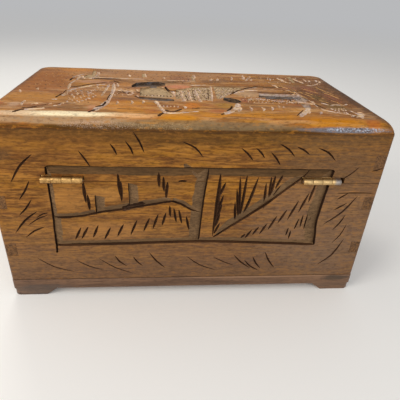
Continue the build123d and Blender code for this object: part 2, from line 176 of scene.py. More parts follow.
class Shop:
    """The node tree of one material."""

    def __init__(self, name: str) -> None:
        """Starts a material with one Principled shader."""
        self.material = bpy.data.materials.new(name)
        self.material.use_nodes = True
        self.tree = self.material.node_tree
        self.shader = self.tree.nodes["Principled BSDF"]

    def node(self, kind: str, sockets: dict | None = None, **settings: object) -> bpy.types.Node:
        """Adds a node.

        Args:
            kind: the node's type.
            sockets: what each input takes, by name or index: a Wire, a socket or a plain value.
            settings: the node's own settings, set first; stops gives a ramp's (place, colour) pairs.

        Returns:
            The node.
        """
        made = self.tree.nodes.new(kind)
        for key, setting in settings.items():
            if key == "stops":
                self.set_stops(made, setting)
            else:
                setattr(made, key, setting)
        for key, content in (sockets or {}).items():
            self.plug(made.inputs[key], content)
        return made

    @staticmethod
    def set_stops(ramp: bpy.types.Node, stops: Sequence[tuple[float, Colour]]) -> None:
        """Gives a colour ramp its stops."""
        elements = ramp.color_ramp.elements
        while len(elements) < len(stops):
            elements.new(1.0)
        for element, (place, colour) in zip(elements, stops):
            element.position = place
            element.color = (*colour, 1.0)

    def plug(self, socket: Socket, content: object) -> None:
        """Feeds a socket.

        Args:
            socket: the input.
            content: a Wire or an output socket to link, or a plain value to set.
        """
        if isinstance(content, Wire):
            content = content.socket
        if isinstance(content, Socket):
            self.tree.links.new(content, socket)
        elif socket.type == "RGBA":
            socket.default_value = (*content, 1.0)
        else:
            socket.default_value = content

    def value(self, kind: str, sockets: dict | None = None, **settings: object) -> Wire:
        """Adds a node and returns its first live output."""
        made = self.node(kind, sockets, **settings)
        return Wire(self, next(out for out in made.outputs if out.enabled))

    def object_place(self) -> Socket:
        """The point on the surface, in metres, in the frame of the model."""
        return self.node("ShaderNodeTexCoord").outputs["Object"]

    def object_normal(self) -> Socket:
        """The surface's direction in the frame of the model."""
        return self.node("ShaderNodeTexCoord").outputs["Normal"]

    def axes(self, vector: Socket) -> tuple[Wire, Wire, Wire]:
        """Splits a vector into its three parts."""
        outputs = self.node("ShaderNodeSeparateXYZ", {0: vector}).outputs
        return Wire(self, outputs[0]), Wire(self, outputs[1]), Wire(self, outputs[2])

    def vector(self, operation: str, *inputs: object) -> bpy.types.NodeOutputs:
        """Adds a Vector Math node and returns its outputs."""
        made = self.node("ShaderNodeVectorMath", dict(enumerate(inputs)), operation=operation)
        return made.outputs

    def stretched(self, vector: Socket, scale: Sequence[float]) -> Socket:
        """Squeezes a pattern's space along its axes."""
        return self.node("ShaderNodeMapping", {"Vector": vector, "Scale": scale}).outputs[0]

    def speckle(
        self,
        vector: Socket,
        scale: float,
        detail: float = 2.0,
        roughness: float = 0.5,
        distortion: float = 0.0,
    ) -> Wire:
        """Noise around 0.5.

        Args:
            vector: the pattern's space.
            scale: how many lumps a metre holds.
            detail: how many finer layers it has.
            roughness: how strong the finer layers are.
            distortion: how far the pattern is swirled.

        Returns:
            The noise's value.
        """
        sockets = {
            "Vector": vector,
            "Scale": scale,
            "Detail": detail,
            "Roughness": roughness,
            "Distortion": distortion,
        }
        return self.value("ShaderNodeTexNoise", sockets)

    def tint(
        self,
        factor: Wire | float,
        first: Colour | Socket,
        second: Colour | Socket,
        mode: str = "MIX",
    ) -> Socket:
        """Mixes two colours.

        Args:
            factor: how much of the second shows.
            first: the colour below.
            second: the colour above.
            mode: the blend type.

        Returns:
            The mixed colour's socket.
        """
        made = self.node("ShaderNodeMix", {0: factor}, data_type="RGBA", blend_type=mode)
        self.plug(made.inputs[6], first)
        self.plug(made.inputs[7], second)
        return made.outputs[2]

    def bump(self, height: Wire, distance: float, strength: float) -> None:
        """Feeds the shader's normal.

        Args:
            height: the relief, from 0 to about 1.
            distance: how far 1 stands out, in metres.
            strength: how much of it shows.
        """
        sockets = {"Height": height, "Distance": distance, "Strength": strength}
        made = self.node("ShaderNodeBump", sockets)
        self.plug(self.shader.inputs["Normal"], made.outputs[0])


class Grain(Enum):
    """The axis that a board's fibres run along."""

    LONG = 0
    DEEP = 1


@dataclass(frozen=True)
class Patch:
    """A soft patch of another colour on a board.

    centre and reach are in millimetres, in the frame of the model. grit, where it isn't 0, is how many
    specks a metre holds, and breaks the patch up into them.
    """

    centre: Place
    reach: Place
    colour: Colour
    strength: float
    grit: float = 0.0

    def mask(self, shop: Shop, place: Socket, ragged: Wire) -> Wire:
        """How much of the patch shows at a point.

        Args:
            shop: the material that it is on.
            place: the point.
            ragged: noise around 0.5 that frays the rim.

        Returns:
            The mask, from 0 to the patch's strength.
        """
        shift = tuple(c * MM for c in self.centre)
        away = shop.vector("SUBTRACT", place, shift)[0]
        share = tuple(1 / (r * MM) for r in self.reach)
        length = shop.vector("LENGTH", shop.vector("MULTIPLY", away, share)[0])["Value"]
        shown = (Wire(shop, length) + (ragged - 0.5) * 0.9).rise(1.15, 0.5) * self.strength
        if self.grit:
            shown = shown * shop.speckle(place, self.grit, 2.0, 0.65).rise(0.5, 0.6)
        return shown


@dataclass(frozen=True)
class Line:
    """A level line of grime or shade on a board, with all its sizes in millimetres."""

    level: float
    half_width: float
    strength: float


@dataclass(frozen=True)
class Tint:
    """Long streaks of another hue in the wood.

    waves is how many streaks a metre holds across the fibres, and cover the share that they take, from 0
    to 1.
    """

    colour: Colour
    strength: float
    waves: float = 110.0
    cover: float = 0.5


@dataclass(frozen=True)
class Timber:
    """Stained and varnished wood: streaks, pores, end grain, grime, rubbed varnish, painted shade and
    highlights.

    Each number of waves is how many lumps of a pattern a metre holds, before it is drawn out along the
    fibres by its length. Reaches, frays and depths are millimetres. sunken is the colour deep in the wood,
    painted as shade at the bottom of cuts, foot_colour a painted shade that greys the wood towards its foot,
    and raw that of the unstained inside.
    """

    name: str
    light: Colour
    dark: Colour
    pore: Colour
    end: Colour
    grain: Grain = Grain.LONG
    roughness: float = 0.42
    coat: float = 0.14
    relief: float = 1.0
    stipple: float = 0.0
    band_waves: float = 150.0
    streak_waves: float = 640.0
    fibre_waves: float = 2100.0
    fleck_waves: float = 2300.0
    cloud_waves: float = 26.0
    rub_waves: float = 160.0
    mottle_waves: float = 1100.0
    crumb_waves: float = 620.0
    pore_strength: float = 0.55
    end_strength: float = 0.85
    foot_strength: float = 0.62
    foot_fray: float = 12.0
    shade_fray: float = 0.8
    raw_fray: float = 0.4
    relief_depth: float = 0.2
    raw: Colour = paint(172, 132, 92)
    patches: tuple[Patch, ...] = ()
    lines: tuple[Line, ...] = ()
    tints: tuple[Tint, ...] = ()
    foot_colour: Colour | None = None
    foot_reach: tuple[float, float] = (88.0, 22.0)
    sunken: Colour | None = None
    sunken_reach: tuple[float, float] = (0.4, 1.5)
    sunken_strength: float = 0.85
    gloss_level: float = 0.25
    streak_length: float = 17.0
    tint_length: float = 9.0
    pore_length: float = 9.0
    coat_roughness: float = 0.2
    raw_depth: float = 5.5
    grit: float = 0.0

    def along(self, share: float) -> Place:
        """The scale that draws a pattern out along the fibres by 1 / share."""
        return (share, 1.0, 1.0) if self.grain is Grain.LONG else (1.0, share, 1.0)

    @staticmethod
    def depth_at(shop: Shop, place: Socket) -> Wire:
        """How far a point lies within the box's nearest outer face, in metres."""
        x, y, z = shop.axes(place)
        deep_x = CASE_HIGH.x - abs(x)
        deep_y = (y - CASE_LOW.y).least(CASE_HIGH.y - y)
        deep_z = (LID_HIGH.z - z).least(z - START_BOUNDS[0][2])
        return deep_x.least(deep_y).least(deep_z)

    def streaked(self, shop: Shop, place: Socket, colour: Socket) -> Socket:
        """Adds the long streaks of other hues.

        Args:
            shop: the material.
            place: the point on the surface.
            colour: the wood's colour so far.

        Returns:
            The streaked colour.
        """
        for number, tint in enumerate(self.tints):
            shift = (0.37 * (number + 1), 0.61 * (number + 1), 0.23 * (number + 1))
            moved = shop.vector("ADD", place, shift)[0]
            lengthwise = shop.stretched(moved, self.along(1 / self.tint_length))
            streak = shop.speckle(lengthwise, tint.waves, 2.0, 0.55, 0.4)
            edge = 0.62 - 0.24 * tint.cover
            colour = shop.tint(streak.rise(edge - 0.07, edge + 0.07) * tint.strength, colour, tint.colour)
        return colour

    def worn(self, shop: Shop, place: Socket, colour: Socket, ragged: Wire) -> Socket:
        """Adds the greyer lower part, the patches and the lines: grime, with painted shade and highlights
        among them.

        Args:
            shop: the material.
            place: the point on the surface.
            colour: the wood's own colour.
            ragged: noise around 0.5 that frays every rim.

        Returns:
            The colour with them added.
        """
        height = shop.axes(place)[2]
        # Painted shade: greyer and darker towards the foot
        if self.foot_colour:
            top, bottom = self.foot_reach
            share = (height + (ragged - 0.5) * self.foot_fray * MM).rise(top * MM, bottom * MM)
            colour = shop.tint(share * self.foot_strength, colour, self.foot_colour)
        # Patches of stain, and of painted shade and highlights
        for patch in self.patches:
            colour = shop.tint(patch.mask(shop, place, ragged), colour, patch.colour)
        # Lines of grime along joints, and of painted shade under the lid's round
        for line in self.lines:
            away = abs(height - line.level * MM) + (ragged - 0.5) * (line.half_width * MM)
            shown = away.rise(line.half_width * MM, line.half_width * 0.3 * MM) * line.strength
            colour = shop.tint(shown, colour, self.pore)
        return colour

    def make(self) -> Finish:
        """Builds the material.

        Returns:
            The material.
        """
        shop = Shop(self.name)
        place = shop.object_place()
        normal = shop.object_normal()
        lengthwise = shop.stretched(place, self.along(1 / self.streak_length))
        short = shop.stretched(place, self.along(1 / self.pore_length))
        bands = shop.speckle(lengthwise, self.band_waves, 2.0, 0.5, 0.5)
        streaks = shop.speckle(lengthwise, self.streak_waves, 3.0, 0.65, 0.25)
        fibres = shop.speckle(lengthwise, self.fibre_waves, 2.0, 0.6)
        flecks = shop.speckle(short, self.fleck_waves, 1.0, 0.5).rise(0.56, 0.7)
        cloud = shop.speckle(place, self.cloud_waves, 3.0, 0.6)
        coarse = (streaks - 0.5) * 1.1 + (bands - 0.5) * 0.8
        grains = coarse + (fibres - 0.5) * 0.9 + (cloud - 0.5) * 0.6 + 0.5
        colour = shop.tint(grains.rise(0.08, 0.92), self.dark, self.light)
        colour = self.streaked(shop, place, colour)
        colour = shop.tint(flecks * self.pore_strength, colour, self.pore)
        colour = self.worn(shop, place, colour, streaks)
        facing = abs(shop.axes(normal)[self.grain.value])
        mottle = shop.speckle(place, self.mottle_waves, 2.0, 0.7)
        end_colour = shop.tint(mottle.rise(0.3, 0.75), self.end, self.pore)
        colour = shop.tint(facing.rise(0.75, 0.95) * self.end_strength, colour, end_colour)
        if self.grit:
            crumbs = shop.speckle(shop.stretched(place, self.along(0.45)), self.crumb_waves, 2.0, 0.7)
            colour = shop.tint(crumbs.rise(0.52, 0.66) * self.grit, colour, self.pore)
            colour = shop.tint(crumbs.rise(0.46, 0.32) * self.grit, colour, self.light)
        depth = self.depth_at(shop, place)
        # Painted shade, darker where the surface lies deep in the wood
        if self.sunken:
            low, high = self.sunken_reach
            shade = (depth + (cloud - 0.5) * self.shade_fray * MM).rise(low * MM, high * MM)
            colour = shop.tint(shade * self.sunken_strength, colour, self.sunken)
        inner = depth.rise((self.raw_depth - self.raw_fray) * MM, (self.raw_depth + self.raw_fray) * MM)
        raw = shop.tint(streaks.rise(0.2, 0.8), self.raw, self.light)
        colour = shop.tint(inner, colour, raw)
        shop.plug(shop.shader.inputs["Base Color"], colour)
        rub = shop.speckle(place, self.rub_waves, 3.0, 0.6)
        rough = (rub - 0.5) * 0.3 + flecks * 0.12 + self.roughness + inner * 0.2
        shop.plug(shop.shader.inputs["Roughness"], rough)
        coat = (1.0 - inner) * (rub.rise(0.25, 0.6) * self.coat)
        shop.plug(shop.shader.inputs["Coat Weight"], coat)
        shop.shader.inputs["Coat Roughness"].default_value = self.coat_roughness
        shop.shader.inputs["Specular IOR Level"].default_value = self.gloss_level
        height = (fibres * 0.3 + streaks * 0.4 - flecks * 0.4) * self.relief + rub * 0.5
        if self.stipple:
            pits = shop.speckle(place, self.mottle_waves, 1.0, 0.4)
            height = height + pits.rise(0.35, 0.65) * self.stipple
        shop.bump(height, self.relief_depth * MM, 0.5)
        return shop.material


@dataclass(frozen=True)
class Metal:
    """Aged metal: a tarnish that is rubbed bright in places, and patches, such as a painted glint."""

    name: str
    bright: Colour
    tarnish: Colour
    roughness: float
    age: float
    patches: tuple[Patch, ...] = ()
    cloud_waves: float = 420.0
    grit_waves: float = 2400.0
    relief_depth: float = 0.05

    def make(self) -> Finish:
        """Builds the material.

        Returns:
            The material.
        """
        shop = Shop(self.name)
        place = shop.object_place()
        cloud = shop.speckle(place, self.cloud_waves, 4.0, 0.65)
        grit = shop.speckle(place, self.grit_waves, 2.0, 0.6)
        dull = (cloud * 0.7 + grit * 0.3).rise(0.62 - self.age, 0.72)
        colour = shop.tint(dull, self.bright, self.tarnish)
        for patch in self.patches:
            colour = shop.tint(patch.mask(shop, place, cloud), colour, patch.colour)
        shop.plug(shop.shader.inputs["Base Color"], colour)
        shop.plug(shop.shader.inputs["Roughness"], dull * 0.3 + grit * 0.08 + self.roughness)
        shop.shader.inputs["Metallic"].default_value = 1.0
        shop.bump(cloud * 0.6 + grit * 0.4, self.relief_depth * MM, 0.4)
        return shop.material


@dataclass(frozen=True)
class Backdrop:
    """The smooth pale sheet that the box stands on, which fades into the pale room far away."""

    name: str
    colour: Colour
    far_colour: Colour
    fade: tuple[float, float] = (0.7, 3.0)

    def make(self) -> Finish:
        """Builds the material."""
        shop = Shop(self.name)
        shop.shader.inputs["Base Color"].default_value = (*self.colour, 1.0)
        shop.shader.inputs["Roughness"].default_value = 0.8
        shop.shader.inputs["Specular IOR Level"].default_value = 0.1
        away = Wire(shop, shop.vector("LENGTH", shop.object_place())["Value"])
        glow = shop.node("ShaderNodeEmission", {"Color": self.far_colour, "Strength": 1.0})
        mixed = shop.node(
            "ShaderNodeMixShader",
            {0: away.rise(*self.fade), 1: shop.shader.outputs[0], 2: glow.outputs[0]},
        )
        shop.plug(shop.tree.nodes["Material Output"].inputs["Surface"], mixed.outputs[0])
        return shop.material


class Tone(Enum):
    """What the bottom of a cut looks like."""

    DARK = "dark_cut"
    GREY = "pared_cut"
    PALE = "pale_cut"
    MATTED = "matted_ground"
    SHADED = "shaded_ground"
    WORN = "worn_scratch"
    STONE = "weathered_ground"
    UMBER = "umber_line"
    DUN = "dun_cut"


def chip_mesh(bm: Shape) -> Mesh:
    """Turns a closed shape's faces outwards and stores it.

    Args:
        bm: the shape, which is freed.

    Returns:
        The mesh.
    """
    bmesh.ops.recalc_face_normals(bm, faces=bm.faces)
    if bm.calc_volume(signed=True) < 0:
        bmesh.ops.reverse_faces(bm, faces=bm.faces)
    mesh = bpy.data.meshes.new("chip")
    bm.to_mesh(mesh)
    bm.free()
    return mesh


@dataclass(frozen=True)
class Face:
    """An outer face of the box, as the carver in front of it sees it.

    corner is its lower left corner. Places on it are millimetres to the right and up from there, and depths
    are millimetres into the wood. rounding is the radius of the face's lower edge.
    """

    corner: Vector
    right: Vector
    up: Vector
    inward: Vector
    rounding: float = 0.0

    def at(self, across: float, rise: float, depth: float) -> Vector:
        """A point in metres.

        Args:
            across: millimetres to the right.
            rise: millimetres up.
            depth: millimetres into the wood.

        Returns:
            The point, turned about the rounded edge where it lies over it.
        """
        if rise >= self.rounding:
            step = self.right * across + self.up * rise + self.inward * depth
            return self.corner + step * MM
        lean = math.acos(max(-1.0, min(1.0, 1 - max(0.0, rise) / self.rounding)))
        turn = math.pi / 2 - lean
        reach = self.rounding - depth
        up = self.rounding - reach * math.sin(turn)
        down = self.rounding - reach * math.cos(turn)
        return self.corner + (self.right * across + self.up * up + self.inward * down) * MM


# Nearer to a chip's axis than this share of its reach, a point is one of the chip's two tips.
TIP_REACH = 1e-4


@dataclass(frozen=True)
class Tool:
    """A knife or gouge: how wide and deep it bites, and how its cuts end.

    lean is the share of the width that lies left of the stroke, as the stroke runs: 0.5 is an even V, and
    near 0 a wall on the left with a slope to the right of it. ends is how pointed both ends are, and fill
    how soon the cut reaches its full width. rough is how uneven its sides are, as a share of its width, and
    overrun how far each fine tip runs past the end of its mark, as a share of the mark's length. rings is
    how finely the cut is shaped along its length. proud is how far the chip's rim stands above the wood, and
    crown how far its back rises over the rim.
    """

    width: float
    depth: float
    tone: Tone = Tone.DARK
    wall: Tone | None = None
    lean: float = 0.5
    ends: float = 1.3
    fill: float = 1.0
    rings: int = 8
    proud: float = 0.35
    rough: float = 0.0
    overrun: float = 0.0
    crown: float = 0.3

    def sized(self, width: float, depth: float, **changes: object) -> "Tool":
        """The tool with another width and depth, and with any other changes given."""
        return replace(self, width=width, depth=depth, **changes)

    def ring(self, t: float) -> float:
        """How full the cut is at a share t of its length."""
        return min(1.0, self.fill * 2 * math.sqrt(max(0.0, t * (1 - t)))) ** self.ends

    def shape(self, path: Path, face: Face, tones: Sequence[Tone]) -> Mesh:
        """The chip that one stroke takes out.

        Args:
            path: the stroke, through two or more points on the face.
            face: the face that it is on.
            tones: the order of the finishes in the mesh's slots.

        Returns:
            A closed mesh.
        """
        bm = bmesh.new()
        bmesh.ops.create_uvsphere(bm, u_segments=4, v_segments=self.rings, radius=1.0)
        slope, wall = tones.index(self.tone), tones.index(self.wall or self.tone)
        for piece in bm.faces:
            centre = piece.calc_center_median()
            piece.material_index = wall if centre.x < 0 else slope
        left, right = self.width * self.lean, self.width * (1 - self.lean)
        spread = 1 + self.proud / self.depth
        for vert in bm.verts:
            t = (1 - vert.co.z) / 2
            reach = math.hypot(vert.co.x, vert.co.y)
            side, below = (vert.co.x / reach, vert.co.y / reach) if reach > TIP_REACH else (0.0, 0.0)
            full = self.ring(t)
            wave = noise.noise(Vector((path[0][0], path[0][1] + 3 * side, t * self.rings * 0.7)))
            out = (left if side < 0 else right) * spread * side * full * (1 + self.rough * wave)
            sink = (self.depth + self.proud) * full * max(0.0, below) - self.crown * full * max(0.0, -below)
            place, across = follow(path, t + (2 * t - 1) * self.overrun)
            vert.co = face.at(place.x + across.x * out, place.y + across.y * out, sink - self.proud)
        return chip_mesh(bm)


def follow(path: Path, t: float) -> tuple[Vector, Vector]:
    """A point on a smooth line through a path, and the direction to the right of it.

    Args:
        path: two or more points.
        t: the share of the way, from 0 to 1.

    Returns:
        The point, and a unit vector to the right of the line.
    """
    points = [Vector(p) for p in path]
    points = [points[0] * 2 - points[1], *points, points[-1] * 2 - points[-2]]
    spans = len(path) - 1
    span = min(spans - 1, int(t * spans))
    s = t * spans - span
    a, b, c, d = points[span : span + 4]
    curve = (
        b * 2 + (c - a) * s + (a * 2 - b * 5 + c * 4 - d) * s**2 + (b * 3 - a - c * 3 + d) * s**3
    ) * 0.5
    slope = (c - a) + (a * 2 - b * 5 + c * 4 - d) * (2 * s) + (b * 3 - a - c * 3 + d) * (3 * s**2)
    slope.normalize()
    return curve, Vector((slope.y, -slope.x))


@dataclass(frozen=True)
class Marks:
    """Strokes made with one tool."""

    tool: Tool
    strokes: tuple[Path, ...]


@dataclass(frozen=True)
class Fill:
    """Rows of like strokes inside a convex outline.

    corners run anticlockwise, in millimetres on the face. slant is each stroke's run and rise, pitch the
    steps along a row and between rows, bow how far its middle is pushed aside, and shake the unevenness.
    """

    tool: Tool
    corners: Path
    slant: Point
    pitch: Point
    bow: float
    shake: float

    def holds(self, spot: Vector) -> bool:
        """True where a place lies inside the outline."""
        ends = self.corners[1:] + self.corners[:1]
        return all(
            (b[0] - a[0]) * (spot.y - a[1]) - (b[1] - a[1]) * (spot.x - a[0]) > 0
            for a, b in zip(self.corners, ends)
        )

    def strokes(self, seed: int) -> Iterator[Path]:
        """Gives each stroke's path.

        Args:
            seed: what the unevenness is drawn from.

        Yields:
            A path of three points.
        """
        chance = random.Random(seed)
        low = [min(p[i] for p in self.corners) for i in range(2)]
        high = [max(p[i] for p in self.corners) for i in range(2)]
        columns, levels = (int((high[i] - low[i]) / self.pitch[i]) + 1 for i in range(2))
        half = Vector(self.slant) / 2
        aside = Vector((half.y, -half.x)).normalized() * self.bow
        for level in range(levels):
            for column in range(columns):
                steps = (column + 0.5 + level % 2 / 2, level + 0.5)
                spot = Vector([low[i] + steps[i] * self.pitch[i] for i in range(2)])
                spot += Vector((chance.uniform(-1, 1), chance.uniform(-1, 1))) * self.shake
                reach = half * chance.uniform(0.75, 1.15)
                if self.holds(spot):
                    yield tuple(tuple(p) for p in (spot - reach, spot + aside, spot + reach))


@dataclass(frozen=True)
class Ground:
    """A patch that is cut down and matted with a punch.

    corners run anticlockwise round a convex outline, in millimetres on the face. far_depth, where it is
    given, is the depth at the patch's upper side, pitch the size of a punch mark and pits how uneven they
    are. proud is how far the slab that is cut away stands above the face.
    """

    corners: Path
    depth: float
    far_depth: float | None = None
    tone: Tone = Tone.MATTED
    pitch: float = 0.8
    pits: float = 0.14
    proud: float = 0.6

    def shape(self, face: Face, tones: Sequence[Tone], seed: int) -> Mesh:
        """The slab of wood that is cut away.

        Args:
            face: the face that it is on.
            tones: the order of the finishes in the mesh's slots.
            seed: what the pits are drawn from.

        Returns:
            A closed mesh with a pitted floor.
        """
        low = Vector((min(p[0] for p in self.corners), min(p[1] for p in self.corners)))
        high = Vector((max(p[0] for p in self.corners), max(p[1] for p in self.corners)))
        size = high - low
        chance = random.Random(seed)
        far = self.depth if self.far_depth is None else self.far_depth
        bm = bmesh.new()
        cells = [max(2, round(side / self.pitch)) for side in size]
        bmesh.ops.create_grid(bm, x_segments=cells[0], y_segments=cells[1], size=1.0)
        for vert in bm.verts:
            u, v = (vert.co.x + 1) / 2, (vert.co.y + 1) / 2
            sink = self.depth + (far - self.depth) * v
            vert.co = (low.x + size.x * u, low.y + size.y * v, sink + chance.uniform(-1, 1) * self.pits)
        for start, end in zip(self.corners, self.corners[1:] + self.corners[:1]):
            side = Vector((end[0] - start[0], end[1] - start[1]))
            bmesh.ops.bisect_plane(
                bm,
                geom=[*bm.verts, *bm.edges, *bm.faces],
                plane_co=(*start, 0.0),
                plane_no=(side.y, -side.x, 0.0),
                clear_outer=True,
            )
        raised = bmesh.ops.extrude_face_region(bm, geom=list(bm.faces))["geom"]
        for vert in (v for v in raised if isinstance(v, bmesh.types.BMVert)):
            vert.co.z = -self.proud
        for vert in bm.verts:
            vert.co = face.at(*vert.co)
        for piece in bm.faces:
            piece.material_index = tones.index(self.tone)
        return chip_mesh(bm)


Design = tuple[Marks | Ground | Fill, ...]


def outline(drawing: str) -> Path:
    """Reads places on a face, each written as across,up in millimetres, with spaces between them."""
    pairs = (place.split(",") for place in drawing.split())
    return tuple((float(across), float(up)) for across, up in pairs)


def drawn(tool: Tool, drawing: str) -> Marks:
    """Reads one tool's strokes, with semicolons between them, each through two or more places."""
    return Marks(tool, tuple(outline(stroke) for stroke in drawing.split(";")))


def sunk(corners: str, depth: float, far_depth: float | None = None, tone: Tone = Tone.MATTED) -> Ground:
    """Reads the corners of a sunk ground. The rest is as in Ground."""
    return Ground(outline(corners), depth, far_depth, tone)


def rows(tool: Tool, corners: str, slant: Point, pitch: Point, bow: float, shake: float) -> Fill:
    """Reads the corners of a field that is filled with one tool's strokes. The rest is as in Fill."""
    return Fill(tool, outline(corners), slant, pitch, bow, shake)


# The carver's knives and gouges, each with the width and the depth of its cut in millimetres
KNIFE = Tool(1.3, 0.95, ends=1.1, rough=0.15, overrun=0.08)
FINE = Tool(0.95, 0.7, ends=1.1, rough=0.15, overrun=0.08)
GRASS = Tool(1.8, 1.1, ends=1.2, rough=0.2, overrun=0.1)
LEAF = Tool(2.0, 1.3, ends=1.2, rough=0.2, overrun=0.06)
STOP = Tool(1.35, 2.0, ends=0.6, fill=6.0, rings=26, rough=0.45)
PARE = Tool(5.0, 1.5, tone=Tone.GREY, wall=Tone.DARK, lean=0.03, ends=0.5, fill=6.0, rings=20, rough=0.2)
DUN_PARE = replace(PARE, tone=Tone.DUN)
VEIN = Tool(2.2, 0.75, tone=Tone.PALE, ends=0.8, fill=1.6, rings=12, rough=0.5)
COMMA = Tool(2.2, 1.0, tone=Tone.PALE, ends=1.1, rough=0.4)
TICK = Tool(1.7, 0.9, tone=Tone.PALE, ends=1.0, rings=5, rough=0.3)
BROWN_TICK = replace(TICK, tone=Tone.UMBER)
SCRATCH = Tool(0.9, 0.35, tone=Tone.WORN, ends=1.0, rings=6, rough=0.3)
BROWN_SCRATCH = replace(SCRATCH, tone=Tone.UMBER)
CHANNEL = Tool(3.2, 0.9, tone=Tone.PALE, ends=0.9, fill=2.0, rings=20, rough=0.7)
HOLLOW = Tool(2.0, 1.9, tone=Tone.DARK, ends=0.9, fill=1.6, rings=14, rough=0.4)
UMBER_LINE = Tool(1.7, 1.7, tone=Tone.UMBER, ends=0.9, fill=1.6, rings=14, rough=0.5)


# The two panels' borders: pared ground inside, and a stop cut round it
BACK_BORDERS = (
    drawn(PARE, "36.4,104.4 128,104 220,103.6"),
    drawn(DUN_PARE.sized(5.0, 1.4), "35.4,46 35.7,58 36.3,69"),
    drawn(DUN_PARE.sized(2.8, 0.9), "36.3,69 36.4,86 36.4,104"),
    drawn(DUN_PARE.sized(8.0, 1.9), "219.9,103.4 218.8,94.7 217.2,78 216.3,63 217.5,53 218,44.8"),
    drawn(DUN_PARE.sized(3.4, 1.1), "218,44.2 176,46.4 133,47.8 84,46.4 35.6,45.4"),
    drawn(DUN_PARE.sized(7.5, 1.7), "137,103.4 135.8,92 134.5,78 133.2,48.6"),
    drawn(STOP, """
        36.4,104.6 128,104.3 220.3,103.8; 36.3,104.8 36.3,70 35.6,58 35.5,45.6 34.8,38.6;
        220,104 218.8,94.7 217.2,78 216.3,63 217.5,53 218.3,43.6; 137.2,103.8 135.8,92 134.5,78 133,48
    """),
    drawn(replace(STOP, width=2.0, fill=2.4), "35,45 84,46 133,47.4 176,46 219,43.8"),
)

# Hill lines, the two posts on the left hill, and the slope of the right panel
BACK_HILLS = (
    drawn(DUN_PARE.sized(3.0, 1.1, fill=3.0), """
        134.2,70.7 126.7,73.9 120,78.1 113.8,80.3; 64.2,71.2 55,68.9 45,67.9 36.6,67.8
    """),
    drawn(DUN_PARE.sized(4.0, 1.2, fill=2.0), "113.8,80.3 93.3,76.4 81.2,73.9 64.2,71.4"),
    drawn(STOP.sized(1.4, 1.7), """
        36.2,67.5 45,67.6 55,68.8 64.5,71.2; 63.5,71.2 81.2,73.8 93.3,76.2 106.7,78.8 114.2,80.2;
        113.4,80.2 120,78 126.7,73.8 134.4,70.6
    """),
    drawn(DUN_PARE.sized(6.0, 1.3, fill=1.6, ends=0.9), "86.2,76 86,93.5; 64.5,71.5 64.5,84.4"),
    drawn(STOP.sized(0.8, 1.3, fill=2.0, ends=1.0), "86,94 86,77 81,73.6; 64.5,85 64.3,70"),
    drawn(HOLLOW.sized(4.2, 2.0), "80.5,73.9 88,76.6 97,77.9"),
    drawn(DUN_PARE.sized(5.6, 1.3, fill=1.2, ends=1.4), "204.2,103.2 185.8,85.6 160,63.9 143.7,51.4"),
    drawn(STOP.sized(1.25, 1.8, fill=3.0), """
        143,50.8 160,63.9 177.2,77.2 185.8,85.6 198.3,97.2 204.6,103.8
    """),
)

# Hanging leaves, bamboo and the grass below the hills
BACK_PLANTS = (
    drawn(replace(LEAF, width=2.2), """
        57.7,95.2 58.3,78.9; 59.7,84.7 60.3,73.2; 79.7,100.4 80.3,84.7; 81.3,94.7 81.2,80.2;
        105.3,102.4 105.5,90.8; 108.3,98 108.7,87.9; 111,94.6 110,82.3
    """),
    drawn(GRASS, "118,95.2 123.2,95.3"),
    drawn(GRASS, """
        53,59.2 48.7,50.1; 57.7,59.7 53,50.7; 64.5,60.9 60.7,51.7; 72.5,59 68.3,50.2; 81.3,61.7 77.2,52.7;
        90.5,65 86.2,53.9; 98.8,66.4 95,56.7; 104.7,69.7 101.3,58.7; 110,71 107.5,61.4; 112.5,76.4 113,68.4;
        115.3,74.4 117,64.1; 118.7,73.4 120.8,63.1; 123.8,68 126,57.7
    """),
    drawn(LEAF.sized(2.9, 1.6), "145,101.4 144.4,80 142.8,53.6"),
    drawn(LEAF, """
        148.7,94.2 145.3,84; 148,84.5 145,72; 147.5,77.5 144.7,67; 146.7,70.5 144.2,60; 147,62.5 143.7,54;
        156.3,79.5 158,62.5; 156.7,89.5 159.7,67.2; 158,98.1 160.3,69; 162.5,100.2 160.8,68;
        170,98.1 164.2,72.6; 169,91 162.5,69.2; 175.8,93.9 176.4,75; 178.7,98.5 179.2,80.6;
        181.3,100.2 179.7,82.6; 186.2,100.5 182.5,90.2; 185.8,92.5 180.8,81.8
    """),
    drawn(GRASS, """
        166,53.4 163.2,50; 170.3,56.8 166.4,50.2; 175,59.3 171.5,53.2; 180.5,61.8 176.5,53.8;
        186.7,68.1 182.2,57.7; 193,73.1 188.5,63.2; 200,80.1 195,66.2; 206.2,86.3 201.8,72.2;
        209.5,93.8 207.3,80.2
    """),
    drawn(replace(GRASS, width=1.3), """
        196.7,58.4 195.8,52.3; 198.8,56.2 198.3,49.4; 203,65.9 201.2,57.8; 205.5,69.2 205,59.4;
        208.7,70 208,58.1; 211.7,68 211.5,63.6
    """),
)

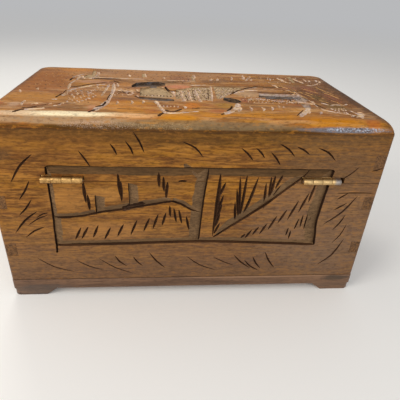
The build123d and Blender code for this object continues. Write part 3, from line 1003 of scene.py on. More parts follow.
# Loose strokes round the panels, and the chipped place at the seam
BACK_MARGIN = (
    drawn(KNIFE, """
        57.3,115 60.6,109.6 63.2,104.9; 76.3,119.9 78.4,116.6 79.8,113.2; 85.5,121.6 88.2,117.7 89.8,113.1;
        90.5,127.4 93.9,121.4 96.4,114.9; 120.3,121.9 127.8,118.3 132.8,112.4;
        157,118.3 161.3,114.7 164.9,110.3; 166.3,118.6 169.6,115.7 172.2,112.3;
        176.3,115.8 180,111.9 183,107.5; 181.3,121.6 187,118.2 191.5,113.6; 192.5,119.9 197,117.9 201,115;
        206.5,119.4 213.6,116.3 219,111.2; 233.7,86.7 227.5,82.2; 234.7,78.9 227,73.6;
        236,68.9 233.5,62.5 230,57.2; 24.2,80.9 20,74.6 15.3,69.7; 25,94.2 21.6,87.6 17.2,81.4;
        29.2,60.1 22.5,56.9 16.7,52.2; 74.5,34.9 77.4,30 81.9,26.2; 87.2,34.1 89.6,29.9 93.2,26.2;
        98.7,37.4 103.4,30.3 109.4,24.2; 160,34.6 165.6,28.3 172.7,22.9; 174.2,32.9 176.8,27.4 180.7,22.5;
        183,36.9 186.3,29.8 191,23.2; 168.3,29.9 173,24.3 179.4,20.4
    """),
    drawn(FINE, """
        32.8,69.4 26.4,66.7 19.7,61.9; 33.3,71.3 29.6,70.2 25.6,67.6; 20.8,34.1 31.5,26 45,21.2;
        47.5,31.6 55.4,26.3 64.4,22.9; 63.6,32.4 73.8,24.7 85.2,19.5; 125.3,34.1 135,26.1 147.7,20.9;
        145.3,32.9 152.5,28.8 160.3,25.4; 226,97 231.9,101.2 237,106.9; 246,103.7 249.2,104.3 252.5,105.8;
        239,61.4 236.5,52.5 231.7,45.1; 226,86.8 239,87.2 252,87
    """),
    drawn(KNIFE.sized(1.5, 1.0), """
        28.9,112 21,104.4 14.5,94; 26,71.9 17.8,65.3 10.6,56; 240.8,84.1 233.2,71.7 222.6,62.2;
        239.7,47.4 234.2,34.2 225.4,25.6
    """),
    drawn(HOLLOW.sized(3.2, 1.1, tone=Tone.DUN, fill=1.0, ends=1.0), """
        122.5,104.9 127.5,101.5 132,97.2; 121,107.5 123.5,105.2 127,104
    """),
)

BACK_PICTURE: Design = (*BACK_BORDERS, *BACK_HILLS, *BACK_PLANTS, *BACK_MARGIN)

# Sunk grounds
LID_GROUNDS = (
    sunk("91.5,50 98,47.5 106,45.5 115,47 115.5,56 111,68 106,77 100,77.5 91,70", 1.2),
    sunk("84.5,73 92,74.5 104,77.5 109.5,81 109.5,88 104,93 97,92.5 87,87 84,78", 1.5, 2.8, tone=Tone.SHADED),
    sunk("88.5,46.5 92,41.5 103,38.6 110,37 115.5,38 115,42.5 103,45.4 91,47.2", 1.1, tone=Tone.SHADED),
    sunk("149.5,44 153,40 158,37 162,40.5 161,46 156,50.5 151,51.5", 2.4, 2.8, tone=Tone.SHADED),
    sunk("178.8,60.8 210,60.8 210.4,64 196,65.4 179.4,65", 0.9, tone=Tone.STONE),
    sunk("177,54.4 190,53.4 204,53.8 209.6,55 210,61.2 178.6,61.2", 1.2, tone=Tone.SHADED),
    sunk("43,98.6 56,98.6 57,107 47,109", 0.4),
    sunk("181.5,50.6 196,50 203,51.6 202,55.4 182,55", 1.2, tone=Tone.UMBER),
    sunk("203,47 209,45.5 213.5,50 212,61 205,62.5 202.5,57", 1.1, tone=Tone.STONE),
    sunk("116.5,44 141,42 142.8,60 143.8,79 130,77.5 117.5,68", 0.4),
    sunk("145.6,47 149,48 169,79 168,82 146.8,82", 0.4),
    sunk("203.5,30.5 208.5,30 210.6,40 204,40.5", 1.2, tone=Tone.STONE),
    sunk("90.5,107 93.5,107 92.8,120 90,120", 0.5),
    sunk("49.8,108 52.6,108 51.2,126 48.4,126", 0.5),
    sunk("131.6,99 134.4,99 134,116 131,116", 0.6),
    sunk("217,104 219.6,103 222.6,127 217.6,127", 0.6),
    sunk("233.5,13.5 236,11 241.5,18.5 241.5,23.5 238,24", 0.7, tone=Tone.PALE),
)

# Hollows and brown lines beside what stands up
LID_SHADES = (
    drawn(HOLLOW.sized(2.3, 1.8), """
        178.6,68.4 188.1,67.2 200.6,68.6 211,68.4; 109.5,78.5 110.5,70.5 113.5,65 119.5,66.5
    """),
    drawn(replace(UMBER_LINE, width=2.5), """
        40,66.5 47.5,72 55,78.5 66,85.5; 23.4,15.8 27.4,15.2 31.4,18.8; 21,6 23,9.8 25.4,13.2;
        109.4,19 111.7,14.8 116.3,16 120,21; 105,5.2 106.6,9 108.6,12.8; 214.8,40 216.4,34.4 218.4,29.6;
        88,49 91.5,46.4 97,45.6
    """),
    drawn(UMBER_LINE, """
        37.2,39.4 38.4,45 39.4,50.4; 36.6,88 36.8,93 38,99; 65.8,20 69.6,25.6 70.8,33.6;
        127.5,78.5 134.5,79.5 142,81.5; 66,85.5 70,87.5 74,88.5; 75,59 80.5,57.5 84,55;
        89,56 91.5,58.5 93.5,58; 155.5,58 160.5,66 166.5,74.5 174,81.5 183,85.5 192,88;
        158,66.8 163,71.4 170.6,79; 185.6,85.2 191,84.2 197.6,84.8; 92.6,97.8 96,96.6 100,97.6;
        63.4,8.6 65,12.6 66.8,17; 153.8,30.4 151.6,23.4 148.4,18.4; 144,10 145,12 146.8,13.6;
        126.4,23.4 129,22.8 131.6,24; 91.6,61 92.2,58.6 91.8,56; 199.4,57 199,51.6 199.8,46;
        207.6,57 208,53 210,49; 69.4,91 72,87 75,85.4
    """),
    drawn(UMBER_LINE.sized(1.1, 0.8), """
        30.4,20.6 33.6,21 36.8,24.8; 39.2,23.4 41.6,24 43.8,26.8; 39.6,51 39.8,55 40.4,59.6;
        42,94 48,94.6 54.6,94.2; 71,36 71,44 71.6,53; 123.4,66 124,52 124.8,38; 129.2,68 129.6,53 130,39.6;
        142.4,78 140.6,58.5 139,42.5; 61.5,95 74,92 86.5,94; 147,83.8 156,84.6 168,84.2;
        201.6,26.4 197.4,19.6 192.4,11.6; 79.6,56.8 82,54.6 85,54; 76,63 78.6,60.6 80.4,57.6;
        168,72.6 178,71 190,72; 172,86 178,88 185,88.2; 79,18.6 85,17.8 92,18.4; 110.6,93 114,91.4 119,92.4;
        228,12.6 231,12.4 233.4,15.6
    """),
    drawn(UMBER_LINE.sized(0.8, 0.45), """
        54.6,97 66,97.6 80,96.8 92,97.6; 100,95 112,94.4 128,95; 136,88 150,89.6 166,89;
        144,100.6 149,99.6 155,100.4; 200,77 209,76 219,77; 42,17.4 52,16.8 62,17.6;
        160,12.8 174,12 190,12.8
    """),
)

# Pale channels
LID_CHANNELS = (
    drawn(CHANNEL, """
        70.2,84 72,66 72.4,48 72,36 70.6,27; 102.8,38 104.4,31 106,24 108,17 109.6,10;
        24.6,11.6 29,12.6 37,15.4; 109.4,12.6 113,11.2 118,12.4 123,14.5 131,16.8;
        158.4,62.4 165,68 172,73.6 181,73.4; 42,97.4 47,97.8 54.6,97.2
    """),
    drawn(CHANNEL.sized(3.0, 1.0, tone=Tone.STONE), "169,75.8 175,80.4 182,82.8; 66,15.6 69.4,21 71.6,28"),
    drawn(CHANNEL.sized(4.6, 0.9, fill=1.6, rings=18, rough=0.5), """
        72.2,35 70.4,26 68,18.4 65.4,10; 207.2,31 203.4,24 199,17.6 194,9.6;
        158.8,38 157.4,30 154.2,22 149.6,16.2 145.6,10.6
    """),
)

# Pale ragged lines, with the brown ones between them
LID_VEINS = (
    drawn(VEIN, """
        67.4,81 67,62 66,45; 41,60.4 39.8,70 39,80 41,90 41.6,97 41.2,105; 36.2,34 37.6,35.4 39.6,34.6;
        20.8,31 20.6,25 22,19; 26.6,22.4 28.2,25 29.8,22.6; 44,100 60,100.8 80,99.8 96,101;
        110,98 122,98.8 134,98; 182.6,61.6 192,61 203,62; 167.4,45 171,49.4 176,51 181,48;
        182.4,47.4 190.8,45.8 197,47; 198,46 203,45.6 208,42.6; 40,20.8 42.4,21 44.6,23.6;
        134.4,77 135.2,69 136,60; 144.8,85 143.6,66 141.2,38.6; 147.2,46.4 150,54 155,62 160.6,70;
        158.8,28 158.2,23 155.6,17.6; 203,43.4 208,42.4 213.6,42.6; 214.6,27.4 218,25 222.6,22.4;
        121.4,27.4 122.4,24.6 121.8,21.6; 89.6,51 90.2,48.6 91,47.4; 92.2,122 93,113 94.4,105;
        128.5,83.5 135,85 142.5,87.5; 94.5,72 102,75.5 109.5,74.5; 72,65 76.5,62.5 81.5,61 87.5,61;
        203.5,46 208.5,44 213,39; 205.5,65 209.5,60 212.5,52.5; 224.5,36.5 228,40 236,39.5; 236,40 239.5,43;
        225,97.5 231.5,96.5 240,104; 212,62.6 209,64.4 205,66
    """),
    drawn(VEIN.sized(3.2, 1.5), """
        40.8,43.6 41.8,50 43.6,58; 41,54.5 43.5,61 48.5,66.5 56,73.5 65.5,80; 42.6,104.6 44.6,99 46,96;
        114.6,64 115.4,58 115.6,50
    """),
    drawn(VEIN.sized(2.6, 1.4), """
        177.6,126 177.2,118 175.4,109.6; 36.6,98 40.6,106 44.6,113; 53,98 54.5,110 53.4,122;
        132.6,103 133.8,112 134,122; 184,123 180.6,114 176.6,105; 207.4,121 209.6,112 213,102;
        222,121 223.6,112 226.6,103; 196.8,95 198.6,91 200,87; 212.5,51 214.5,46 213.5,39
    """),
    drawn(VEIN.sized(2.7, 1.6, fill=2.0, rough=0.4), """
        120.7,68.4 121.2,52 122.4,37; 126.5,71.5 126.6,55 127.3,38.6; 131.5,73 132.2,55 133.5,37.6
    """),
    drawn(UMBER_LINE.sized(4.4, 1.1), "178.6,87.4 190,86.4 204.6,86.8; 43,96.4 58,96.8 76,97.4"),
    drawn(VEIN.sized(1.1, 0.6, rough=0.9), """
        223.6,21.8 229,18.6 234.4,14.4; 147.6,60 151,64 153,70; 185.4,80.6 192,78.4 199,76.4 208,77.6;
        208.4,77 209.6,71 211,62; 213.7,42.5 214.5,32 216.4,26 222,21 230.1,17.2
    """),
    drawn(VEIN.sized(1.6, 0.6, tone=Tone.WORN, rough=0.9), """
        203,78 209,68 214.4,54; 208.4,86 214,72 219.4,58; 199.6,94 205.6,86 210,76;
        217.9,85.9 223.4,79 227.8,70; 218,73.3 222,64 227,54.3; 232.3,91 235,80 239.7,66.9;
        232.3,75 236.4,66 239.1,55.5; 217.1,58.7 221,51 226.8,43.7; 229.9,51.9 233.4,45 235.1,37.1
    """),
    drawn(UMBER_LINE.sized(1.3, 0.9), """
        182.1,87.9 193.5,87.4 205.8,91 213.1,91; 220.7,66.8 223.4,62 225.7,56.8;
        222.9,43.4 226,39.4 228.8,34.1; 213,84 219,76 222.6,68; 226,86 230,78 233.4,69;
        214,66 219,58 221.6,50; 228.4,66 231.4,58 233,49; 213.6,43.4 213.8,36 215,29
    """),
)

# Short comma strokes
LID_COMMAS = (
    drawn(COMMA, """
        77.6,35 78.6,30.6 78,26.4; 86.6,37.6 88,32.6 87.2,27.6; 94.2,39 95.2,34.6 94.2,30.4;
        165.4,30.8 166,25 164.6,18.6; 173.4,30 174.4,25 172.6,19.6; 180.8,32.4 180.8,27 178.6,20.8;
        186.2,35.6 186.4,31.6 185,27; 204.6,26.4 204.2,21.6 201.8,16.2; 213,24.6 211.6,20 209,15.6;
        166.8,121 166.4,113 164.4,104.4; 9,57.4 10.6,53.4 12.4,48.8; 19.6,64 20,60.6 21.4,56.6;
        36,22.8 37.4,24.8 37.4,27.6; 43.8,24 44.8,26 44.4,28.6; 84.6,60.6 86,57.4 86.2,53;
        88.4,66.6 89.6,63.6 89.6,60; 82,53.4 84.6,51.6 87.4,51.8; 234,27 235.4,22.4 237,17;
        237,20.6 235.2,15 231.6,11; 233,16.6 231,14.4 229,13.2; 237.4,15.4 236.6,12 234.4,8.8;
        150,17.6 148,14.4 146.6,11; 198.6,17.4 196.2,13.6 194.2,9.2
    """),
    drawn(COMMA.sized(2.5, 1.0), """
        201,120 200.4,115 199,109; 210.8,120 210.2,114 208.4,108; 219,119 218,114 216.6,109.6;
        231,119 231.6,114 230,109; 235.4,118 234.6,113 232.6,108; 241.6,119 241.4,114 239.4,109;
        244,114 243,110 240.4,105.6; 148.6,110 147.6,105 146.2,101; 153.4,112 153.2,106 151.4,101;
        183.4,114.6 182.4,109.6 181,105.4; 189.4,33 189.4,31 188.6,29; 78.8,114.6 80.4,110.6 80.8,106.6;
        108,110 108.8,106.6 108.8,103; 72.6,84 74,78 74.6,72; 219.6,44 222,42 224.6,38.6;
        222,31.4 222.8,29.6 222.4,27.4; 228.6,22.6 229.6,20.6 229,18.4; 196.6,45 198.4,43 199.6,40.6;
        205.6,52.6 204.8,49 205.6,45.4; 28,25.8 29.4,25 30,22.6
    """),
)

# Rows of ticks
MIDDLE_FIELD = "116.6,44 141,42 143,77 131,76 117.6,67"
SLOPING_FIELD = "146,48 149.6,50 168.6,80 147.2,81"
LID_HATCHING = (
    rows(TICK, "45,30 58,28 63,42 61,60 46,58", (1.4, -3.4), (3.6, 4.6), 0.6, 1.8),
    rows(TICK, "46,32 58,30 62,42 60,57 47,55", (-1.8, -2.0), (5.0, 5.8), 0.6, 2.2),
    rows(BROWN_TICK.sized(1.0, 0.5), "44,30 60,28 64,42 62,66 45,60", (2.2, -2.4), (3.8, 4.6), 0.4, 1.7),
    rows(TICK, "57,60 64,58 65.6,72 58,71", (1.0, -3.0), (3.0, 3.8), 0.4, 1.2),
    rows(TICK, "74,48 88,48 90,66 78,70 74,62", (2.0, -2.6), (4.4, 5.6), 0.6, 2.0),
    rows(BROWN_TICK.sized(1.3, 0.7), "74,50 90,46 91,68 78,70", (2.6, -2.0), (4.6, 5.2), 0.4, 2.0),
    rows(TICK, "162.6,47 176,46 181,56 168,58", (1.6, 2.6), (3.4, 4.4), 0.5, 1.6),
    rows(BROWN_TICK.sized(1.3, 0.7), "162.6,44 180,44 182,57 166,60", (1.4, 2.2), (3.8, 4.8), 0.4, 1.8),
    rows(BROWN_TICK.sized(1.2, 0.7), "198,64 214,40 222,60 206,92", (2.6, -5.6), (4.0, 6.6), 0.4, 1.6),
    rows(BROWN_SCRATCH.sized(1.1, 0.5), "10,62 36,60 36,124 14,126", (-2.0, 3.4), (6.8, 9.4), 0.4, 3.0),
    rows(BROWN_SCRATCH.sized(1.1, 0.5), "54,103 200,98 200,130 54,130", (1.4, 3.4), (8.6, 7.8), 0.4, 3.0),
    rows(TICK, "190,102 226,100 226,124 190,126", (1.0, 3.6), (7.6, 8.4), 0.4, 2.8),
    rows(TICK.sized(1.6, 0.9), "107,23.4 118.6,22.6 119.6,28.6 107,28.6", (0.3, 4.0), (2.3, 6.0), 0.1, 0.15),
    rows(TICK.sized(4.4, 1.9), "94,52 114.4,52 114.4,56.4 94,56.4", (0.2, 4.6), (2.4, 4.4), 0.1, 0.15),
    rows(BROWN_TICK.sized(3.4, 2.0), "95.2,52 115,52 115,56.4 95.2,56.4", (0.2, 4.0), (2.4, 4.4), 0.1, 0.15),
    rows(BROWN_TICK.sized(1.3, 0.8), "166,40 202,40 206,49 168,50", (0.9, 2.6), (2.7, 3.6), 0.3, 1.1),
    rows(TICK.sized(1.6, 0.8), "166,40 204,41 207,50 168,51", (0.7, 2.8), (2.9, 3.6), 0.3, 1.2),
    rows(TICK, "221.6,22 230,21 234.6,32 223.6,34", (1.6, 3.0), (2.3, 3.7), 0.3, 0.7),
    rows(TICK.sized(2.2, 1.1), MIDDLE_FIELD, (1.5, 2.6), (2.6, 3.6), 0.2, 0.6),
    rows(BROWN_TICK.sized(1.9, 1.1), MIDDLE_FIELD, (1.2, 2.2), (3.1, 4.3), 0.2, 1.0),
    rows(TICK.sized(2.0, 1.0), SLOPING_FIELD, (1.6, 3.0), (2.5, 3.6), 0.2, 0.4),
    rows(BROWN_TICK.sized(1.6, 0.9), SLOPING_FIELD, (1.6, 2.6), (3.1, 4.1), 0.2, 0.6),
    rows(BROWN_TICK.sized(0.9, 0.5), "112,88 130,88 131,118 114,118", (0.5, 4.0), (3.7, 5.0), 0.3, 1.6),
    rows(
        BROWN_SCRATCH.sized(0.8, 0.35), "217,47 246,46 247,92 224,92 214,84",
        (2.4, 4.6), (3.3, 4.6), 0.5, 1.6,
    ),
    rows(BROWN_TICK.sized(0.9, 0.5), "217,36 244,30 247,96 224,98 214,84", (2.2, 3.2), (5.2, 6.6), 0.4, 2.0),
    rows(TICK.sized(1.1, 0.5), "222,98 245,98 246,122 222,124", (1.4, 3.0), (4.2, 5.6), 0.3, 1.8),
)

# Rows of light scratches
LID_SCRATCHES = (
    rows(SCRATCH, "184,90 209,88 210,128 184,128", (1.2, 5.6), (4.1, 6.4), 0.4, 2.0),
    rows(SCRATCH, "10,70 34,70 36,124 14,128", (-1.6, 5.0), (6.2, 8.6), 0.4, 2.6),
    rows(SCRATCH, "54,99 110,99 110,130 54,130", (0.3, 5.6), (7.4, 8.2), 0.4, 2.8),
    rows(SCRATCH, "136,92 170,94 172,128 136,128", (0.9, 5.4), (4.6, 6.8), 0.4, 2.2),
    rows(SCRATCH, "190,16 198,26 200,36 160,37 162,16", (5.0, 0.6), (9.0, 4.4), 0.3, 2.0),
    rows(SCRATCH, "48,10 62,10 64,26 46,28", (5.0, 0.4), (7.0, 3.4), 0.3, 1.6),
)

LID_PICTURE: Design = (
    *LID_GROUNDS, *LID_SHADES, *LID_CHANNELS, *LID_VEINS, *LID_COMMAS, *LID_HATCHING, *LID_SCRATCHES,
)


@dataclass
class Carver:
    """Cuts designs into boards."""

    finishes: dict[Tone, Finish]
    chips: list[Thing] = field(default_factory=list)

    def cut(self, design: Iterable[Marks | Ground | Fill], face: Face) -> None:
        """Makes the chips of a design.

        Args:
            design: the strokes and grounds.
            face: the face that they are on.
        """
        tones = list(Tone)
        for group, item in enumerate(design):
            if isinstance(item, Ground):
                self.keep(item.shape(face, tones, group))
                continue
            strokes = item.strokes(group) if isinstance(item, Fill) else item.strokes
            for path in strokes:
                self.keep(item.tool.shape(path, face, tones))

    def keep(self, mesh: Mesh) -> None:
        """Stores one chip with its finishes."""
        for tone in Tone:
            mesh.materials.append(self.finishes[tone])
        self.chips.append(bpy.data.objects.new("chip", mesh))

    def touching(self, board: Thing) -> list[Thing]:
        """The chips whose boxes meet a board's box."""
        low, high = extent(board)
        found = []
        for chip in self.chips:
            chip_low, chip_high = extent(chip)
            if all(chip_low[i] < high[i] and chip_high[i] > low[i] for i in range(3)):
                found.append(chip)
        return found

    def carve(self, board: Thing) -> None:
        """Takes every chip that meets a board out of it for good."""
        chips = self.touching(board)
        LOG.info("%s: %d cuts", board.name, len(chips))
        if not chips:
            return
        heap = bpy.data.collections.new("chips")
        for chip in chips:
            heap.objects.link(chip)
        modifier = board.modifiers.new("carving", "BOOLEAN")
        modifier.operation = "DIFFERENCE"
        modifier.operand_type = "COLLECTION"
        modifier.collection = heap
        modifier.solver = "MANIFOLD"
        modifier.material_mode = "TRANSFER"
        bake_modifiers(board)
        for chip in chips:
            heap.objects.unlink(chip)
        bpy.data.collections.remove(heap)

    def sweep(self) -> None:
        """Throws the chips away."""
        for chip in self.chips:
            bpy.data.meshes.remove(chip.data)
        self.chips.clear()


def extent(thing: Thing) -> tuple[Vector, Vector]:
    """The lowest and highest corner of an object's mesh."""
    places = [v.co for v in thing.data.vertices]
    low = Vector(min(p[i] for p in places) for i in range(3))
    high = Vector(max(p[i] for p in places) for i in range(3))
    return low, high


def bake_modifiers(thing: Thing) -> None:
    """Turns an object's modifiers into its mesh."""
    graph = bpy.context.evaluated_depsgraph_get()
    mesh = bpy.data.meshes.new_from_object(thing.evaluated_get(graph), depsgraph=graph)
    thing.modifiers.clear()
    thing.data = mesh


@contextmanager
def opened(thing: Thing) -> Iterator[Shape]:
    """Opens a piece's mesh for work on it, and stores it again afterwards."""
    bm = bmesh.new()
    bm.from_mesh(thing.data)
    yield bm
    bm.to_mesh(thing.data)
    bm.free()


def flatten(bm: Shape) -> None:
    """Makes one face of all that lies in one plane side by side."""
    bmesh.ops.dissolve_limit(bm, angle_limit=FLAT_ANGLE, verts=bm.verts, edges=bm.edges)


def dress(thing: Thing, *finishes: Finish) -> None:
    """Gives an object its finishes, in slot order."""
    thing.data.materials.clear()
    for finish in finishes:
        thing.data.materials.append(finish)


def placed(bm: Shape, name: str) -> Thing:
    """Stores a shape as a new object in the scene.

    Args:
        bm: the shape, which is freed.
        name: the object's name.

    Returns:
        The object.
    """
    mesh = bpy.data.meshes.new(name)
    bm.to_mesh(mesh)
    bm.free()
    thing = bpy.data.objects.new(name, mesh)
    bpy.context.scene.collection.objects.link(thing)
    return thing


def merged_copy(node: str, name: str) -> Thing:
    """Copies a CAD node as one closed mesh with flat faces kept whole.

    Args:
        node: the CAD node.
        name: the new piece's name.

    Returns:
        The new object, linked to the scene.
    """
    bm = bmesh.new()
    bm.from_mesh(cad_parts[node].data)
    bmesh.ops.remove_doubles(bm, verts=bm.verts, dist=WELD)
    flatten(bm)
    bmesh.ops.recalc_face_normals(bm, faces=bm.faces)
    return placed(bm, name)


def billet(
    low: Vector,
    high: Vector,
    name: str,
    rounded: Callable[[Vector, Vector], bool] | None = None,
    radius: float = 1.0,
    steps: int = 6,
) -> Thing:
    """A block of wood, with some of its edges rounded.

    Args:
        low: its lowest corner.
        high: its highest corner.
        name: the object's name.
        rounded: picks edges by their direction and their middle, both from -1 to 1 in the block.
        radius: the rounding, in millimetres.
        steps: how many faces it has.

    Returns:
        The new object, linked to the scene.
    """
    bm = bmesh.new()
    bmesh.ops.create_cube(bm, size=2.0)
    if rounded:
        edges = []
        for edge in bm.edges:
            first, second = (vert.co for vert in edge.verts)
            if rounded((second - first) / 2, (first + second) / 2):
                edges.append(edge)
    for vert in bm.verts:
        vert.co = Vector([low[i] + (high[i] - low[i]) * (vert.co[i] + 1) / 2 for i in range(3)])
    if rounded:
        bmesh.ops.bevel(
            bm, geom=edges, offset=radius * MM, affect="EDGES", segments=steps, profile=0.5, material=-1
        )
    return placed(bm, name)


def combine(thing: Thing, other: Thing, operation: str) -> None:
    """Joins, cuts or intersects a piece with another one, which is used up.

    Args:
        thing: the piece that stays.
        other: the piece that goes.
        operation: the Boolean modifier's operation.
    """
    modifier = thing.modifiers.new("joinery", "BOOLEAN")
    modifier.operation = operation
    modifier.object = other
    modifier.solver = "MANIFOLD"
    bake_modifiers(thing)
    bpy.data.objects.remove(other)


def finish_edges(thing: Thing, smooth_angle: float) -> None:
    """Shades a piece smooth but keeps its real edges crisp.

    Args:
        thing: the piece.
        smooth_angle: the sharpest turn, in degrees, that still shades smooth.
    """
    with opened(thing) as bm:
        for piece in bm.faces:
            piece.smooth = True
        for edge in bm.edges:
            faces = edge.link_faces
            border = len(faces) == 2 and faces[0].material_index != faces[1].material_index
            turned = len(faces) == 2 and edge.calc_face_angle(0.0) > math.radians(smooth_angle)
            edge.smooth = not (border or turned)


def ease(thing: Thing, width: float, segments: int = 2) -> None:
    """Rounds a piece's sharp edges.

    Args:
        thing: the piece.
        width: the rounding, in millimetres.
        segments: how many steps it has.
    """
    with opened(thing) as bm:
        bmesh.ops.bevel(
            bm,
            geom=[edge for edge in bm.edges if edge.calc_face_angle(0.0) > SHARP_ANGLE],
            offset=width * MM,
            affect="EDGES",
            segments=segments,
            profile=0.5,
            material=-1,
            clamp_overlap=True,
        )


def hand_over(piece: Thing, node: str, body: str, smooth_angle: float = SMOOTH_ANGLE) -> None:
    """Gives a shaped and dressed piece its node's place in the model.

    Args:
        piece: the piece.
        node: the CAD node that it stands for.
        body: the body that it moves with.
        smooth_angle: the sharpest turn, in degrees, that still shades smooth.
    """
    finish_edges(piece, smooth_angle)
    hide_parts(node)
    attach(piece, body)
    LOG.info("%s: %d faces", piece.name, len(piece.data.polygons))


def refit(
    node: str,
    body: str,
    finish: Finish,
    easing: float = 0.0,
    smooth_angle: float = SMOOTH_ANGLE,
) -> None:
    """Replaces a node by its own shape, with its edges eased.

    Args:
        node: the CAD node.
        body: the body that it moves with.
        finish: what it is made of.
        easing: how far its edges are eased, in millimetres, or 0.
        smooth_angle: the sharpest turn, in degrees, that still shades smooth.
    """
    piece = merged_copy(node, f"eased_{node}")
    if easing:
        ease(piece, easing)
    dress(piece, finish)
    hand_over(piece, node, body, smooth_angle)


class Stain(Enum):
    """The woods' colours: light and dark grain, pores and end grain."""

    BOARD = (paint(158, 104, 42), paint(96, 60, 24), paint(56, 34, 16), paint(118, 84, 52))
    LID = (paint(180, 116, 36), paint(126, 76, 24), paint(84, 50, 22), paint(116, 76, 42))
    BASE = (paint(128, 94, 68), paint(82, 58, 42), paint(48, 32, 22), paint(86, 64, 48))


def varnished(name: str, stain: Stain, grain: Grain, **changes: object) -> Finish:
    """A varnished wood of one of the box's stains."""
    light, dark, pore, end = stain.value
    return Timber(name, light, dark, pore, end, grain, **changes).make()


@dataclass(frozen=True)
class CutLook:
    """The finish of a cut: light, dark and pore colours, the painted shade of its deep part, and its pits."""

    tone: Tone
    light: Colour
    dark: Colour
    pore: Colour
    sunken: Colour | None = None
    reach: tuple[float, float] = (0.4, 1.5)
    pits: float = 0.0
    tints: tuple[Tint, ...] = ()

    def make(self) -> Finish:
        """Builds the finish: duller than the outer face, and grittier where it has pits."""
        return Timber(
            self.tone.value,
            self.light,
            self.dark,
            self.pore,
            self.dark,
            roughness=0.62,
            coat=0.04,
            stipple=self.pits,
            sunken=self.sunken,
            sunken_reach=self.reach,
            tints=self.tints,
            tint_length=2.5,
            gloss_level=0.1,
            grit=0.6 if self.pits else 0.15,
            raw_depth=50.0,
        ).make()


# The fourth colour, where given, is the painted shade deep in the cut
CUT_LOOKS = (
    CutLook(Tone.DARK, paint(76, 49, 29), paint(43, 27, 17), paint(28, 17, 11)),
    CutLook(
        Tone.GREY, paint(104, 74, 42), paint(68, 48, 26), paint(44, 31, 18), paint(60, 43, 26), (1.0, 2.2)
    ),
    CutLook(
        Tone.DUN, paint(128, 98, 66), paint(88, 66, 44), paint(56, 41, 27), paint(74, 54, 35), (1.0, 2.2)
    ),
    CutLook(
        Tone.PALE,
        paint(240, 208, 166),
        paint(200, 162, 122),
        paint(144, 108, 76),
        paint(150, 118, 90),
        (1.5, 2.8),
        tints=(Tint(paint(166, 118, 80), 0.75, 430.0, 0.42), Tint(paint(206, 190, 188), 0.6, 560.0, 0.42)),
    ),
    CutLook(Tone.MATTED, paint(204, 172, 128), paint(144, 112, 76), paint(98, 72, 46), pits=0.9),
    CutLook(
        Tone.SHADED,
        paint(126, 102, 80),
        paint(66, 52, 42),
        paint(42, 33, 27),
        pits=0.8,
        tints=(Tint(paint(118, 114, 116), 0.55, 240.0, 0.45),),
    ),
    CutLook(Tone.WORN, paint(206, 158, 98), paint(166, 120, 68), paint(112, 76, 44)),
    CutLook(
        Tone.STONE,
        paint(206, 182, 158),
        paint(150, 122, 98),
        paint(98, 76, 58),
        pits=0.6,
        tints=(Tint(paint(200, 186, 190), 0.5, 300.0, 0.45), Tint(paint(150, 108, 74), 0.5, 380.0, 0.35)),
    ),
    CutLook(Tone.UMBER, paint(118, 84, 56), paint(76, 52, 34), paint(50, 34, 22)),
)


# The box's upper corner at the back, how far inside it the middles of patches lie, and how thick they are,
# in millimetres
CORNER = tuple(round(size / MM, 1) for size in (CASE_HIGH.x, CASE_HIGH.y, LID_HIGH.z))
BACK_SINK = 0.4
BACK_THICKNESS = 6.0
LID_SINK = 1.4
LID_THICKNESS = 30.0


def on_back(centre: Point, reach: Point, colour: Colour, strength: float) -> Patch:
    """A soft patch on the back, from its middle in the frame of the model and its reach, across and up."""
    place = (centre[0], CORNER[1] - BACK_SINK, centre[1])
    return Patch(place, (reach[0], BACK_THICKNESS, reach[1]), colour, strength)


def on_lid(centre: Point, reach: Point, colour: Colour, strength: float) -> Patch:
    """A soft patch on the lid's upper surface.

    Args:
        centre: millimetres from the left and from the near edge, as seen from behind the box.
        reach: how far it reaches to the side and away.
        colour: its colour.
        strength: how much of it shows.

    Returns:
        The patch.
    """
    place = (CORNER[0] - centre[0], CORNER[1] - centre[1], CORNER[2] - LID_SINK)
    return Patch(place, (*reach, LID_THICKNESS), colour, strength)


ORANGE = paint(216, 138, 34)
PINK = paint(186, 136, 92)
RED = paint(176, 92, 44)
SMOKE = paint(66, 52, 38)
ASH = paint(104, 82, 66)

# Grime and shade along the seam, above the base, and under the top board
BOARD_LINES = (Line(94.55, 0.7, 0.15), Line(14.6, 0.8, 0.75), Line(128.8, 1.6, 0.5))
# Painted shade along the foot of the lid's rounded edge
LID_LINES = (Line(129.0, 1.0, 0.55),)

BOARD_TINTS = (
    Tint(paint(174, 118, 32), 0.45, 130.0, 0.45),
    Tint(paint(92, 56, 22), 0.4, 170.0, 0.4),
    Tint(paint(172, 118, 52), 0.45, 640.0, 0.42),
    Tint(paint(84, 46, 20), 0.55, 780.0, 0.38),
)
LID_TINTS = (
    Tint(paint(204, 136, 34), 0.7, 90.0, 0.55),
    Tint(PINK, 0.35, 70.0, 0.4),
    Tint(paint(150, 78, 30), 0.55, 150.0, 0.4),
    Tint(paint(146, 88, 24), 0.5, 60.0, 0.4),
    Tint(paint(104, 70, 40), 0.5, 150.0, 0.3),
    Tint(paint(222, 176, 124), 0.4, 210.0, 0.3),
)

